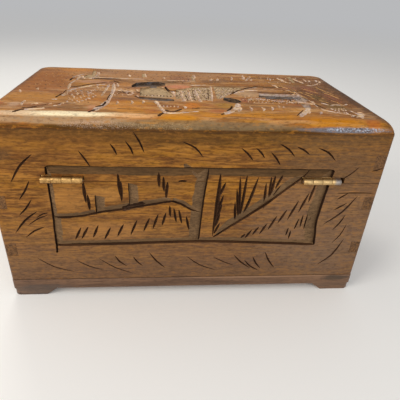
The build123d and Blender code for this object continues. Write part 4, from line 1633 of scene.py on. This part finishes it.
BACK_PATCHES = (
    on_back((118.0, 112.5), (10.0, 6.0), SMOKE, 0.55),
    on_back((-6.0, 101.0), (7.0, 5.0), SMOKE, 0.45),
    # Painted shade in the hollow under the hill line of the left panel
    on_back((41.0, 77.0), (10.0, 4.0), SMOKE, 0.5),
    # Painted shade under the lid's rounded edge, along the top of the back
    on_back((0.0, 126.0), (150.0, 7.0), paint(84, 56, 18), 0.65),
    # Painted shade over the right part of the back, greyer low down, where less light falls
    on_back((-96.0, 66.0), (60.0, 60.0), paint(118, 98, 82), 0.42),
    on_back((-96.0, 114.0), (56.0, 26.0), paint(98, 72, 46), 0.5),
    on_back((88.0, 119.0), (56.0, 9.0), paint(116, 74, 30), 0.4),
    on_back((20.0, 90.0), (18.0, 9.0), paint(112, 76, 38), 0.4),
    on_back((58.0, 57.0), (30.0, 9.0), paint(176, 124, 70), 0.35),
    on_back((80.0, 82.0), (16.0, 12.0), paint(184, 130, 68), 0.35),
    on_back((57.0, 85.0), (13.0, 7.0), paint(190, 136, 72), 0.35),
    # Painted shade, darker towards the foot of the back
    on_back((-10.0, 24.0), (80.0, 11.0), paint(92, 70, 56), 0.35),
)
END_PATCHES = (
    Patch((-124.0, 70.0, 66.0), (14.0, 8.0, 80.0), paint(108, 98, 90), 0.5),
    Patch((124.0, 70.0, 60.0), (14.0, 8.0, 70.0), paint(104, 82, 70), 0.35),
)
BASE_PATCHES = (
    # A painted highlight along the base's top edge
    Patch((-58.0, 71.0, 14.2), (72.0, 2.5, 1.0), paint(150, 114, 84), 0.6),
    Patch((-113.0, 70.0, 12.0), (12.0, 5.0, 3.5), SMOKE, 0.8),
    on_back((-20.0, 5.0), (140.0, 4.0), ASH, 0.4),
    on_back((106.0, 5.0), (30.0, 6.0), paint(76, 72, 68), 0.45),
)
# A painted glint on a hinge barrel, and the grey end of its outer knuckle
BRASS_GLINT_AND_GREY_END = (
    Patch((-84.0, 73.0, 96.6), (15.0, 6.0, 6.0), paint(226, 198, 146), 0.5),
    Patch((-96.0, 72.0, 96.5), (3.4, 6.0, 6.0), paint(150, 148, 150), 0.8),
)

LID_PATCHES = (
    on_lid((104.0, 112.0), (74.0, 26.0), paint(178, 128, 84), 0.6),
    on_lid((120.0, 62.0), (66.0, 30.0), PINK, 0.3),
    on_lid((16.0, 84.0), (26.0, 48.0), paint(152, 86, 14), 0.8),
    on_lid((36.0, 126.0), (16.0, 8.0), ORANGE, 0.5),
    on_lid((24.0, 40.0), (26.0, 14.0), paint(196, 134, 48), 0.5),
    on_lid((60.0, 38.0), (14.0, 16.0), ORANGE, 0.35),
    on_lid((84.0, 24.0), (22.0, 14.0), ORANGE, 0.4),
    on_lid((79.0, 81.0), (6.0, 8.0), ORANGE, 0.35),
    on_lid((120.0, 78.0), (11.0, 7.0), paint(208, 132, 92), 0.9),
    on_lid((56.0, 86.0), (18.0, 5.0), paint(178, 124, 92), 0.6),
    on_lid((64.0, 21.0), (3.6, 4.6), paint(200, 140, 96), 0.8),
    on_lid((126.8, 29.0), (6.0, 7.5), paint(206, 120, 24), 0.85),
    on_lid((149.0, 31.0), (8.0, 7.0), paint(172, 124, 40), 0.75),
    on_lid((143.0, 18.0), (7.0, 5.0), RED, 0.6),
    on_lid((65.0, 13.0), (3.4, 6.0), RED, 0.6),
    on_lid((101.0, 14.0), (6.0, 6.0), RED, 0.35),
    on_lid((8.0, 23.0), (3.0, 4.0), RED, 0.55),
    on_lid((164.6, 45.6), (3.4, 6.0), paint(160, 84, 52), 0.7),
    on_lid((122.0, 105.0), (11.0, 13.0), paint(134, 78, 48), 0.5),
    on_lid((147.0, 99.0), (10.0, 6.0), paint(112, 76, 46), 0.6),
    on_lid((158.0, 105.0), (5.0, 8.0), paint(132, 90, 50), 0.6),
    on_lid((113.0, 92.0), (9.0, 6.0), paint(116, 88, 52), 0.6),
    on_lid((183.0, 76.0), (14.0, 8.0), PINK, 0.5),
    on_lid((170.0, 63.0), (12.0, 10.0), paint(200, 164, 124), 0.6),
    on_lid((16.5, 22.0), (4.0, 5.0), paint(196, 158, 126), 0.7),
    on_lid((105.0, 42.0), (9.0, 6.0), paint(132, 98, 76), 0.5),
    on_lid((172.0, 10.5), (30.0, 5.0), paint(206, 132, 4), 0.85),
    on_lid((140.0, 9.0), (12.0, 4.6), paint(210, 134, 8), 0.8),
    on_lid((118.0, 5.0), (14.0, 6.0), paint(210, 136, 20), 0.8),
    on_lid((214.0, 7.0), (22.0, 6.0), paint(192, 120, 4), 0.9),
    on_lid((240.0, 4.0), (6.0, 4.0), RED, 0.6),
    # Painted shade over the right third of the lid, where less light falls
    on_lid((236.0, 70.0), (36.0, 60.0), paint(100, 60, 24), 0.75),
    on_lid((224.0, 82.0), (7.0, 14.0), paint(156, 90, 58), 0.6),
    on_lid((234.0, 58.0), (6.0, 16.0), paint(150, 84, 52), 0.55),
    on_lid((222.0, 56.0), (5.0, 12.0), paint(112, 92, 40), 0.55),
    on_lid((228.0, 34.0), (8.0, 10.0), paint(122, 98, 46), 0.5),
    on_lid((208.0, 84.0), (10.0, 8.0), paint(160, 104, 74), 0.5),
    on_lid((250.0, 60.0), (8.0, 76.0), paint(78, 50, 28), 0.8),
    on_lid((0.0, 90.0), (9.0, 70.0), paint(96, 60, 30), 0.8),
)

# Painted highlights and sheen on the lid's rounded edge, lighter where the varnish is rubbed, with painted
# glints, a painted cool reflection at the right end, and painted shade along the edge's foot
RIM_HIGHLIGHTS_AND_SHADE = (
    # Painted shade along the foot of the rounded edge
    Patch((0.0, 70.0, 129.4), (140.0, 5.0, 3.9), paint(78, 52, 14), 0.95),
    # Painted highlights on the upper round, lighter where the varnish is rubbed, then painted sheen and
    # glints below them
    Patch((80.0, 64.2, 136.4), (48.0, 4.6, 2.6), paint(255, 234, 190), 1.0),
    Patch((84.0, 69.0, 133.8), (56.0, 4.0, 2.6), paint(170, 138, 104), 0.85),
    Patch((112.0, 64.4, 136.2), (24.0, 4.0, 2.2), paint(214, 170, 128), 0.7),
    Patch((38.0, 64.6, 136.2), (18.0, 3.6, 2.0), paint(236, 178, 120), 0.7),
    Patch((54.0, 70.0, 131.6), (26.0, 5.0, 2.8), paint(216, 190, 172), 0.5, 2400.0),
    Patch((-10.0, 69.6, 132.6), (66.0, 5.0, 3.6), paint(128, 106, 76), 0.8),
    Patch((20.0, 70.0, 131.6), (26.0, 5.0, 3.0), paint(190, 160, 120), 0.45, 2200.0),
    # A painted cool reflection at the right end, with glare specks
    Patch((-94.0, 69.8, 131.4), (30.0, 5.0, 2.1), paint(114, 114, 122), 0.9),
    Patch((-100.0, 70.0, 131.7), (22.0, 5.0, 1.7), paint(188, 196, 212), 0.85, 900.0),
    Patch((-102.0, 70.0, 131.6), (11.0, 5.0, 1.9), paint(70, 70, 78), 0.85, 700.0),
)


@dataclass
class Finishes:
    """All the finishes of the box."""

    board_long: Finish = field(init=False)
    board_deep: Finish = field(init=False)
    lid_top: Finish = field(init=False)
    base: Finish = field(init=False)
    brass: Finish = field(init=False)
    screw: Finish = field(init=False)
    steel: Finish = field(init=False)
    cuts: dict[Tone, Finish] = field(init=False)

    def __post_init__(self) -> None:
        """Builds every material once."""
        wear_and_shade = {"lines": BOARD_LINES, "foot_colour": ASH, "gloss_level": 0.1, "coat": 0.05, "grit": 0.3}
        self.board_long = varnished(
            "board_long_grain", Stain.BOARD, Grain.LONG, patches=BACK_PATCHES, tints=BOARD_TINTS, **wear_and_shade
        )
        self.board_deep = varnished("board_deep_grain", Stain.BOARD, Grain.DEEP, patches=END_PATCHES, **wear_and_shade)
        self.lid_top = varnished(
            "lid_top_wood",
            Stain.LID,
            Grain.LONG,
            patches=LID_PATCHES + RIM_HIGHLIGHTS_AND_SHADE,
            lines=LID_LINES,
            tints=LID_TINTS,
            gloss_level=0.05,
            coat=0.03,
            grit=0.4,
            relief=2.0,
            tint_length=5.5,
            streak_length=11.0,
        )
        self.base = varnished("base_wood", Stain.BASE, Grain.LONG, patches=BASE_PATCHES)
        self.brass = Metal(
            "aged_brass", paint(204, 162, 102), paint(112, 84, 46), 0.38, 0.18, BRASS_GLINT_AND_GREY_END
        ).make()
        self.screw = Metal("screw_brass", paint(206, 170, 98), paint(112, 82, 46), 0.3, 0.2).make()
        self.steel = Metal("dull_steel", paint(176, 172, 166), paint(104, 96, 86), 0.35, 0.15).make()
        self.cuts = {look.tone: look.make() for look in CUT_LOOKS}


@dataclass
class Faces:
    """The carved faces of the box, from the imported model's boards."""

    back: Face = field(init=False)
    front: Face = field(init=False)
    left: Face = field(init=False)
    right: Face = field(init=False)
    top: Face = field(init=False)

    def __post_init__(self) -> None:
        """Places each face by its corner."""
        low, high = CASE_LOW, CASE_HIGH
        x, y, z = Vector((1, 0, 0)), Vector((0, 1, 0)), Vector((0, 0, 1))
        self.back = Face(Vector((high.x, high.y, 0.0)), -x, z, -y)
        self.front = Face(Vector((low.x, low.y, 0.0)), x, z, y)
        self.left = Face(Vector((low.x, high.y, 0.0)), -y, z, x)
        self.right = Face(Vector((high.x, low.y, 0.0)), y, z, -x)
        self.top = Face(Vector((high.x, high.y, LID_HIGH.z)), -x, -y, -z, LID_ROUNDING)


@dataclass
class SidePictures:
    """Designs for the faces that the photograph doesn't show, in the manner of the one that it does.

    Sizes are millimetres. Each panel has a stop cut border with pared ground, a hill line, grass strokes
    along the hill, and bamboo that hangs or stands beside it. Loose strokes fill the margins.
    """

    seed: int = 5
    panel_foot: float = 40.0
    panel_head: float = 88.0
    side_margin: float = 30.0
    centre_gap: float = 34.0
    stroke_length: float = 9.5
    stroke_step: float = 7.2
    low_row: float = 28.0
    high_row: float = 114.0
    hill_line: Path = ((0.0, 0.3), (0.25, 0.36), (0.5, 0.52), (0.72, 0.66), (1.0, 0.78))
    chance: random.Random = field(init=False)

    def __post_init__(self) -> None:
        """Seeds the small unevenness of the strokes."""
        self.chance = random.Random(self.seed)

    def shake(self, amount: float) -> float:
        """A small uneven amount."""
        return self.chance.uniform(-amount, amount)

    def panel(self, left: float, right: float, mirrored: bool) -> list[Marks]:
        """One bordered picture.

        Args:
            left: its left side.
            right: its right side.
            mirrored: True where the hill climbs to the left.

        Returns:
            The panel's strokes.
        """
        foot, head = self.panel_foot, self.panel_head
        wide, tall = right - left, head - foot

        def spot(u: float, v: float) -> Point:
            """A place in the panel, from shares of its width and height."""
            return left + wide * (1 - u if mirrored else u), foot + tall * v

        border = ((left, foot), (right, foot), (right, head), (left, head))
        sides = tuple(zip(border, border[1:] + border[:1]))
        hill = tuple(spot(u, v) for u, v in self.hill_line)

        # Grass that climbs the hill
        grass = []
        for i in range(6):
            u = 0.14 + 0.13 * i
            base = 0.06 + 0.5 * max(0.0, u - 0.2)
            start = spot(u + 0.03, base + 0.2 + self.shake(0.02))
            grass.append((start, spot(u - 0.03, base + self.shake(0.02))))

        # A fan of long leaves that hang from the border, and shorter ones beside it
        bamboo = []
        for i in range(5):
            u = 0.12 + 0.035 * i
            lean = 0.018 * (i - 2)
            bamboo.append((spot(u + lean, 0.96 - 0.05 * (i % 2)), spot(u, 0.42 + 0.04 * i)))
        for i in range(4):
            u = 0.42 + 0.05 * i
            bamboo.append((spot(u, 0.97 - 0.03 * i), spot(u + 0.01, 0.72 + 0.02 * i)))

        # Pared ground lies inside the border and above the hill, with a stop cut along each.
        pared = tuple(side[::-1] for side in sides)
        return [
            Marks(replace(PARE, width=4.6), pared),
            Marks(PARE.sized(4.2, 1.3, fill=2.5), (hill[::-1] if not mirrored else hill,)),
            Marks(STOP, sides),
            Marks(STOP.sized(1.4, 1.7, fill=3.0), (hill,)),
            Marks(GRASS, tuple(grass)),
            Marks(LEAF, tuple(bamboo)),
        ]

    def margin(self, left: float, right: float, level: float, slant: Point) -> Marks:
        """A row of loose strokes.

        Args:
            left: where the row starts.
            right: where it ends.
            level: the height of the strokes' middles.
            slant: each stroke's run and rise.

        Returns:
            The row.
        """
        count = max(2, round((right - left) / (self.stroke_step * 1.9)))
        strokes = []
        for i in range(count):
            u = left + (right - left) * (i + 0.5) / count + self.shake(2.5)
            v = level + self.shake(2.0)
            length = 0.5 + self.shake(0.14)
            run, lift = slant[0] * length, slant[1] * length
            bow = self.shake(0.8)
            strokes.append(((u - run, v + lift), (u + bow, v + bow), (u + run, v - lift)))
        return Marks(KNIFE, tuple(strokes))

    def column(self, middle: float, foot: float, head: float, slant: Point) -> Marks:
        """A column of loose strokes beside a panel.

        Args:
            middle: the column's middle.
            foot: its lowest stroke.
            head: its highest stroke.
            slant: each stroke's run and rise.

        Returns:
            The column.
        """
        count = max(2, round((head - foot) / self.stroke_step))
        strokes = []
        for i in range(count):
            u = middle + self.shake(2.5)
            v = foot + (head - foot) * (i + 0.5) / count + self.shake(1.5)
            run, lift = slant[0] * 0.5, slant[1] * 0.5
            strokes.append(((u - run, v - lift), (u + self.shake(0.6), v), (u + run, v + lift)))
        return Marks(KNIFE, tuple(strokes))

    def around(self, width: float) -> list[Marks]:
        """The loose strokes of a whole face.

        Args:
            width: the face's width.

        Returns:
            Rows above and below the panels, and a column at each side.
        """
        length = self.stroke_length
        inset = self.side_margin / 2 + 3
        return [
            self.margin(self.side_margin, width - self.side_margin, self.low_row, (length, length * 0.9)),
            self.margin(
                self.side_margin, width - self.side_margin, self.high_row, (length * 0.8, length * 0.9)
            ),
            self.column(inset, self.panel_foot, self.panel_head, (length, length * 0.8)),
            self.column(width - inset, self.panel_foot, self.panel_head, (length * 0.8, length)),
        ]

    def front(self, width: float) -> list[Marks]:
        """The front: two panels, with plain wood between them for the catch."""
        middle = width / 2
        near, far = middle - self.centre_gap / 2, middle + self.centre_gap / 2
        design = self.panel(self.side_margin, near, False)
        design += self.panel(far, width - self.side_margin, True)
        return design + self.around(width)

    def end(self, width: float, mirrored: bool) -> list[Marks]:
        """An end: one panel."""
        return self.panel(self.side_margin, width - self.side_margin, mirrored) + self.around(width)


@dataclass(frozen=True)
class Field:
    """A stretch of a wall board that is carved, in millimetres on its face."""

    left: float
    right: float
    foot: float
    head: float


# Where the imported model's boards have plain cuts for the same pictures
NEAR_PANEL = Field(29.0, 111.5, 39.0, 89.0)
CARVED_FIELDS: dict[str, tuple[Field, ...]] = {
    "body_back_board": (Field(30.0, 226.0, 41.0, 94.4),),
    "lid_back_board": (Field(30.0, 226.0, 98.7, 106.5), Field(60.0, 198.5, 94.7, 98.7)),
    "body_front_board": (NEAR_PANEL, Field(143.5, 226.0, 39.0, 89.0)),
    "body_left_board": (NEAR_PANEL,),
    "body_right_board": (NEAR_PANEL,),
}


@dataclass
class Walls:
    """The eight wall boards of the case and the lid."""

    finishes: Finishes
    carver: Carver
    faces: Faces
    ease_width: float = 0.22
    fresh_depth: float = 2.2
    parts: tuple[tuple[str, str], ...] = (("body", "case"), ("lid", "lid"))

    def renew(self, board: Thing, node: str, face: Face) -> None:
        """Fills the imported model's plain cuts again, so that the board is carved afresh in full.

        Args:
            board: the board's copy.
            node: the board's node.
            face: its outer face.
        """
        foot, head = (corner.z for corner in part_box(node))
        for area in CARVED_FIELDS.get(node, ()):
            corners = [face.at(area.left, area.foot, 0.0), face.at(area.right, area.head, self.fresh_depth)]
            low = Vector([min(corner[i] for corner in corners) for i in range(3)])
            high = Vector([max(corner[i] for corner in corners) for i in range(3)])
            low.z, high.z = max(low.z, foot), min(high.z, head)
            combine(board, billet(low, high, "fresh_wood"), "UNION")
        with opened(board) as bm:
            flatten(bm)

    def build(self) -> None:
        """Copies, carves and dresses each wall board."""
        for part, body in self.parts:
            for side in ("back", "front", "left", "right"):
                node = f"{part}_{side}_board"
                board = merged_copy(node, f"carved_{node}")
                self.renew(board, node, getattr(self.faces, side))
                ease(board, self.ease_width, 1)
                deep = side in ("left", "right")
                dress(board, self.finishes.board_deep if deep else self.finishes.board_long)
                self.carver.carve(board)
                hand_over(board, node, body)


@dataclass
class LidTop:
    """The carved top board of the lid, with its planed, slightly uneven rounded edges."""

    finishes: Finishes
    carver: Carver
    edge_radius: float = LID_ROUNDING
    edge_steps: int = 16
    corner_radius: float = 2.4
    crown_radius: float = 8.0
    corner_reach: float = 15.0
    corner_step: float = 0.75
    plane_step: float = 5.0
    plane_depth: float = 0.35
    plane_waves: float = 55.0
    rim_share: float = 0.15

    def slab(self, name: str, axis: int) -> Thing:
        """A slab whose upper edges along one axis are rounded."""
        return billet(
            LID_LOW,
            LID_HIGH,
            name,
            lambda run, at: abs(run[axis]) > 0.5 and at.z > 0.5,
            self.edge_radius,
            self.edge_steps,
        )

    def blank(self) -> Thing:
        """The board before it is carved: two slabs, one rounded along and one across, where they meet."""
        board = self.slab("carved_lid_top", 0)
        combine(board, self.slab("across", 1), "INTERSECT")
        return board

    def offsets(self, length: float) -> Iterator[float]:
        """Where the board is cut across for shaping: closely near its ends, and widely between.

        Args:
            length: the board's length, in metres.

        Yields:
            Each place, in metres from the board's end.
        """
        near = self.corner_reach * MM
        for i in range(1, int(self.corner_reach / self.corner_step)):
            yield i * self.corner_step * MM
            yield length - i * self.corner_step * MM
        steps = int((length - 2 * near) / (self.plane_step * MM))
        for i in range(steps + 1):
            yield near + (length - 2 * near) * i / steps

    def rounded_corner(self, place: Vector) -> Vector:
        """Draws a point in towards a corner that is rounder at the top than below.

        Args:
            place: the point.

        Returns:
            The point's new place.
        """
        middle, half = (LID_LOW + LID_HIGH) / 2, (LID_HIGH - LID_LOW) / 2
        rise = (place.z - LID_LOW.z) / (LID_HIGH.z - LID_LOW.z)
        over = max(0.0, place.z - (LID_HIGH.z - self.edge_radius * MM))
        inset = self.edge_radius * MM - math.sqrt(max(0.0, (self.edge_radius * MM) ** 2 - over**2))
        radius = (self.corner_radius + (self.crown_radius - self.corner_radius) * rise) * MM
        reach = Vector([radius - (half[i] - inset - abs(place[i] - middle[i])) for i in range(2)])
        if min(reach) <= 0:
            return place
        pulled = reach * (max(reach) / reach.length)
        moved = place.copy()
        for i in range(2):
            moved[i] -= math.copysign(reach[i] - pulled[i], place[i] - middle[i])
        return moved

    def plane(self, board: Thing) -> None:
        """Rounds the corners and makes the upper surface a little uneven, always inwards."""
        rim = LID_LOW.z + (LID_HIGH.z - LID_LOW.z) * self.rim_share
        with opened(board) as bm:
            bmesh.ops.remove_doubles(bm, verts=bm.verts, dist=2 * WELD)
            for axis in (0, 1):
                across = Vector((1 - axis, axis, 0))
                for offset in self.offsets(LID_HIGH[axis] - LID_LOW[axis]):
                    geom = [*bm.verts, *bm.edges, *bm.faces]
                    place = across * (LID_LOW[axis] + offset)
                    bmesh.ops.bisect_plane(bm, geom=geom, plane_co=place, plane_no=across)
            for vert in bm.verts:
                vert.co = self.rounded_corner(vert.co)
            bm.normal_update()
            for vert in bm.verts:
                if vert.co.z > rim:
                    share = 0.5 + 0.5 * noise.noise(vert.co * self.plane_waves)
                    vert.co -= vert.normal * (self.plane_depth * MM * min(1.0, max(0.0, share)))

    def build(self) -> None:
        """Shapes, carves and dresses the board."""
        board = self.blank()
        self.plane(board)
        dress(board, self.finishes.lid_top)
        self.carver.carve(board)
        hand_over(board, "lid_top_board", "lid")


@dataclass
class Plinth:
    """The base board and its four bracket feet."""

    finishes: Finishes
    foot_ease: float = 0.6

    def build(self) -> None:
        """Dresses the base, and eases and dresses the feet."""
        refit("base_board", "case", self.finishes.base)
        for end in ("front", "back"):
            for side in ("left", "right"):
                refit(f"foot_{end}_{side}", "case", self.finishes.base, self.foot_ease)


@dataclass
class Fittings:
    """Hinges, screws and the catch, with their edges broken as a file does it."""

    finishes: Finishes
    leaf_ease: float = 0.2
    small_ease: float = 0.12
    smooth_angle: float = 30.0

    def build(self) -> None:
        """Eases and dresses each fitting."""
        for side in ("left", "right"):
            self.fit(f"hinge_{side}_body_leaf", "case", self.leaf_ease)
            self.fit(f"hinge_{side}_lid_leaf", "lid", self.leaf_ease)
            self.keep(f"hinge_{side}_pin", self.finishes.steel)
        self.fit("latch_hook", "hook", self.small_ease)
        self.fit("latch_washer", "case", self.small_ease)
        for node in ("hinge_body_screws", "hinge_lid_screws", "latch_pivot_screw", "latch_stud"):
            self.keep(node, self.finishes.screw)

    def fit(self, node: str, body: str, easing: float) -> None:
        """Replaces a brass node by its own shape, eased by a width in millimetres."""
        refit(node, body, self.finishes.brass, easing, self.smooth_angle)

    @staticmethod
    def keep(node: str, finish: Finish) -> None:
        """Gives a node that stays its metal."""
        dress(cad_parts[node], finish)
        LOG.info("%s: %s", node, finish.name)


@dataclass(frozen=True)
class Lamp:
    """A soft square light that looks at the box, with sizes in metres and its power in watts."""

    name: str
    place: Place
    side: float
    power: float
    colour: Colour
    aim: Place = (0.0, 0.0, 0.07)

    def hang(self) -> None:
        """Adds the light to the scene."""
        lamp = bpy.data.lights.new(self.name, "AREA")
        lamp.shape = "SQUARE"
        lamp.size = self.side
        lamp.energy = self.power
        lamp.color = self.colour
        holder = bpy.data.objects.new(self.name, lamp)
        holder.location = self.place
        direction = Vector(self.aim) - Vector(self.place)
        holder.rotation_euler = direction.to_track_quat("-Z", "Y").to_euler()
        bpy.context.scene.collection.objects.link(holder)


LAMPS = (
    Lamp("key", (0.75, 0.5, 0.6), 0.5, 4.7, (1.0, 0.96, 0.9)),
    Lamp("fill", (-0.1, 1.2, 0.75), 0.9, 4.7, (1.0, 0.98, 0.95)),
    Lamp("edge_glow", (0.28, -0.62, 0.78), 0.35, 2.0, (1.0, 0.95, 0.88)),
    Lamp("window", (-0.62, 0.95, 0.42), 0.22, 1.0, (0.82, 0.9, 1.0)),
)


@dataclass
class Studio:
    """The pale sheet that the box stands on, the soft lights and the camera, with sizes in metres."""

    camera_place: Place = (0.019418, 0.290408, 0.208099)
    camera_right: Place = (-0.99540, 0.08151, 0.05036)
    camera_forward: Place = (-0.09577, -0.86234, -0.49719)
    lens: float = 34.535
    sensor_width: float = 36.0
    clip_start: float = 0.01
    sheet_colour: Colour = paint(251, 249, 245)
    room_colour: Colour = paint(184, 185, 187)
    sheet_size: float = 60.0

    def build(self) -> None:
        """Sets the sheet, the lights, the world and the camera."""
        self.lay_sheet()
        for lamp in LAMPS:
            lamp.hang()
        self.set_world()
        self.set_camera()
        bpy.context.scene.view_settings.view_transform = "Standard"

    def lay_sheet(self) -> None:
        """The floor, just under the feet."""
        bm = bmesh.new()
        bmesh.ops.create_grid(bm, x_segments=1, y_segments=1, size=self.sheet_size / 2)
        sheet = placed(bm, "sheet")
        dress(sheet, Backdrop("pale_sheet", self.sheet_colour, self.room_colour).make())
        sheet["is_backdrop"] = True

    def set_world(self) -> None:
        """A plain pale room, as bright as the sheet is far away."""
        world = bpy.data.worlds.new("pale_world")
        world.use_nodes = True
        background = world.node_tree.nodes["Background"]
        background.inputs["Color"].default_value = (*self.room_colour, 1.0)
        background.inputs["Strength"].default_value = 1.0
        bpy.context.scene.world = world

    def set_camera(self) -> None:
        """Puts the camera where the photograph was taken from."""
        data = bpy.data.cameras.new("camera")
        data.lens = self.lens
        data.sensor_width = self.sensor_width
        data.clip_start = self.clip_start
        camera = bpy.data.objects.new("camera", data)
        right = Vector(self.camera_right).normalized()
        back = -Vector(self.camera_forward).normalized()
        up = back.cross(right)
        turn = Matrix((right, up, back)).transposed().to_4x4()
        camera.matrix_world = Matrix.Translation(Vector(self.camera_place)) @ turn
        bpy.context.scene.collection.objects.link(camera)
        bpy.context.scene.camera = camera


def main() -> None:
    """Builds the looks of the whole box."""
    logging.basicConfig(level=logging.INFO, format="%(name)s: %(message)s")
    finishes = Finishes()
    faces = Faces()
    sides = SidePictures()
    width = (CASE_HIGH.x - CASE_LOW.x) / MM
    depth = (CASE_HIGH.y - CASE_LOW.y) / MM
    carver = Carver(finishes.cuts)
    carver.cut(BACK_PICTURE, faces.back)
    carver.cut(sides.front(width), faces.front)
    carver.cut(sides.end(depth, False), faces.left)
    carver.cut(sides.end(depth, True), faces.right)
    Walls(finishes, carver, faces).build()
    carver.sweep()
    top_carver = Carver(finishes.cuts)
    top_carver.cut(LID_PICTURE, faces.top)
    LidTop(finishes, top_carver).build()
    top_carver.sweep()
    Plinth(finishes).build()
    Fittings(finishes).build()
    Studio().build()
    sizes = [[list(corner) for corner in bounds] for bounds in (START_BOUNDS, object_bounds())]


if __name__ == "__main__":
    main()
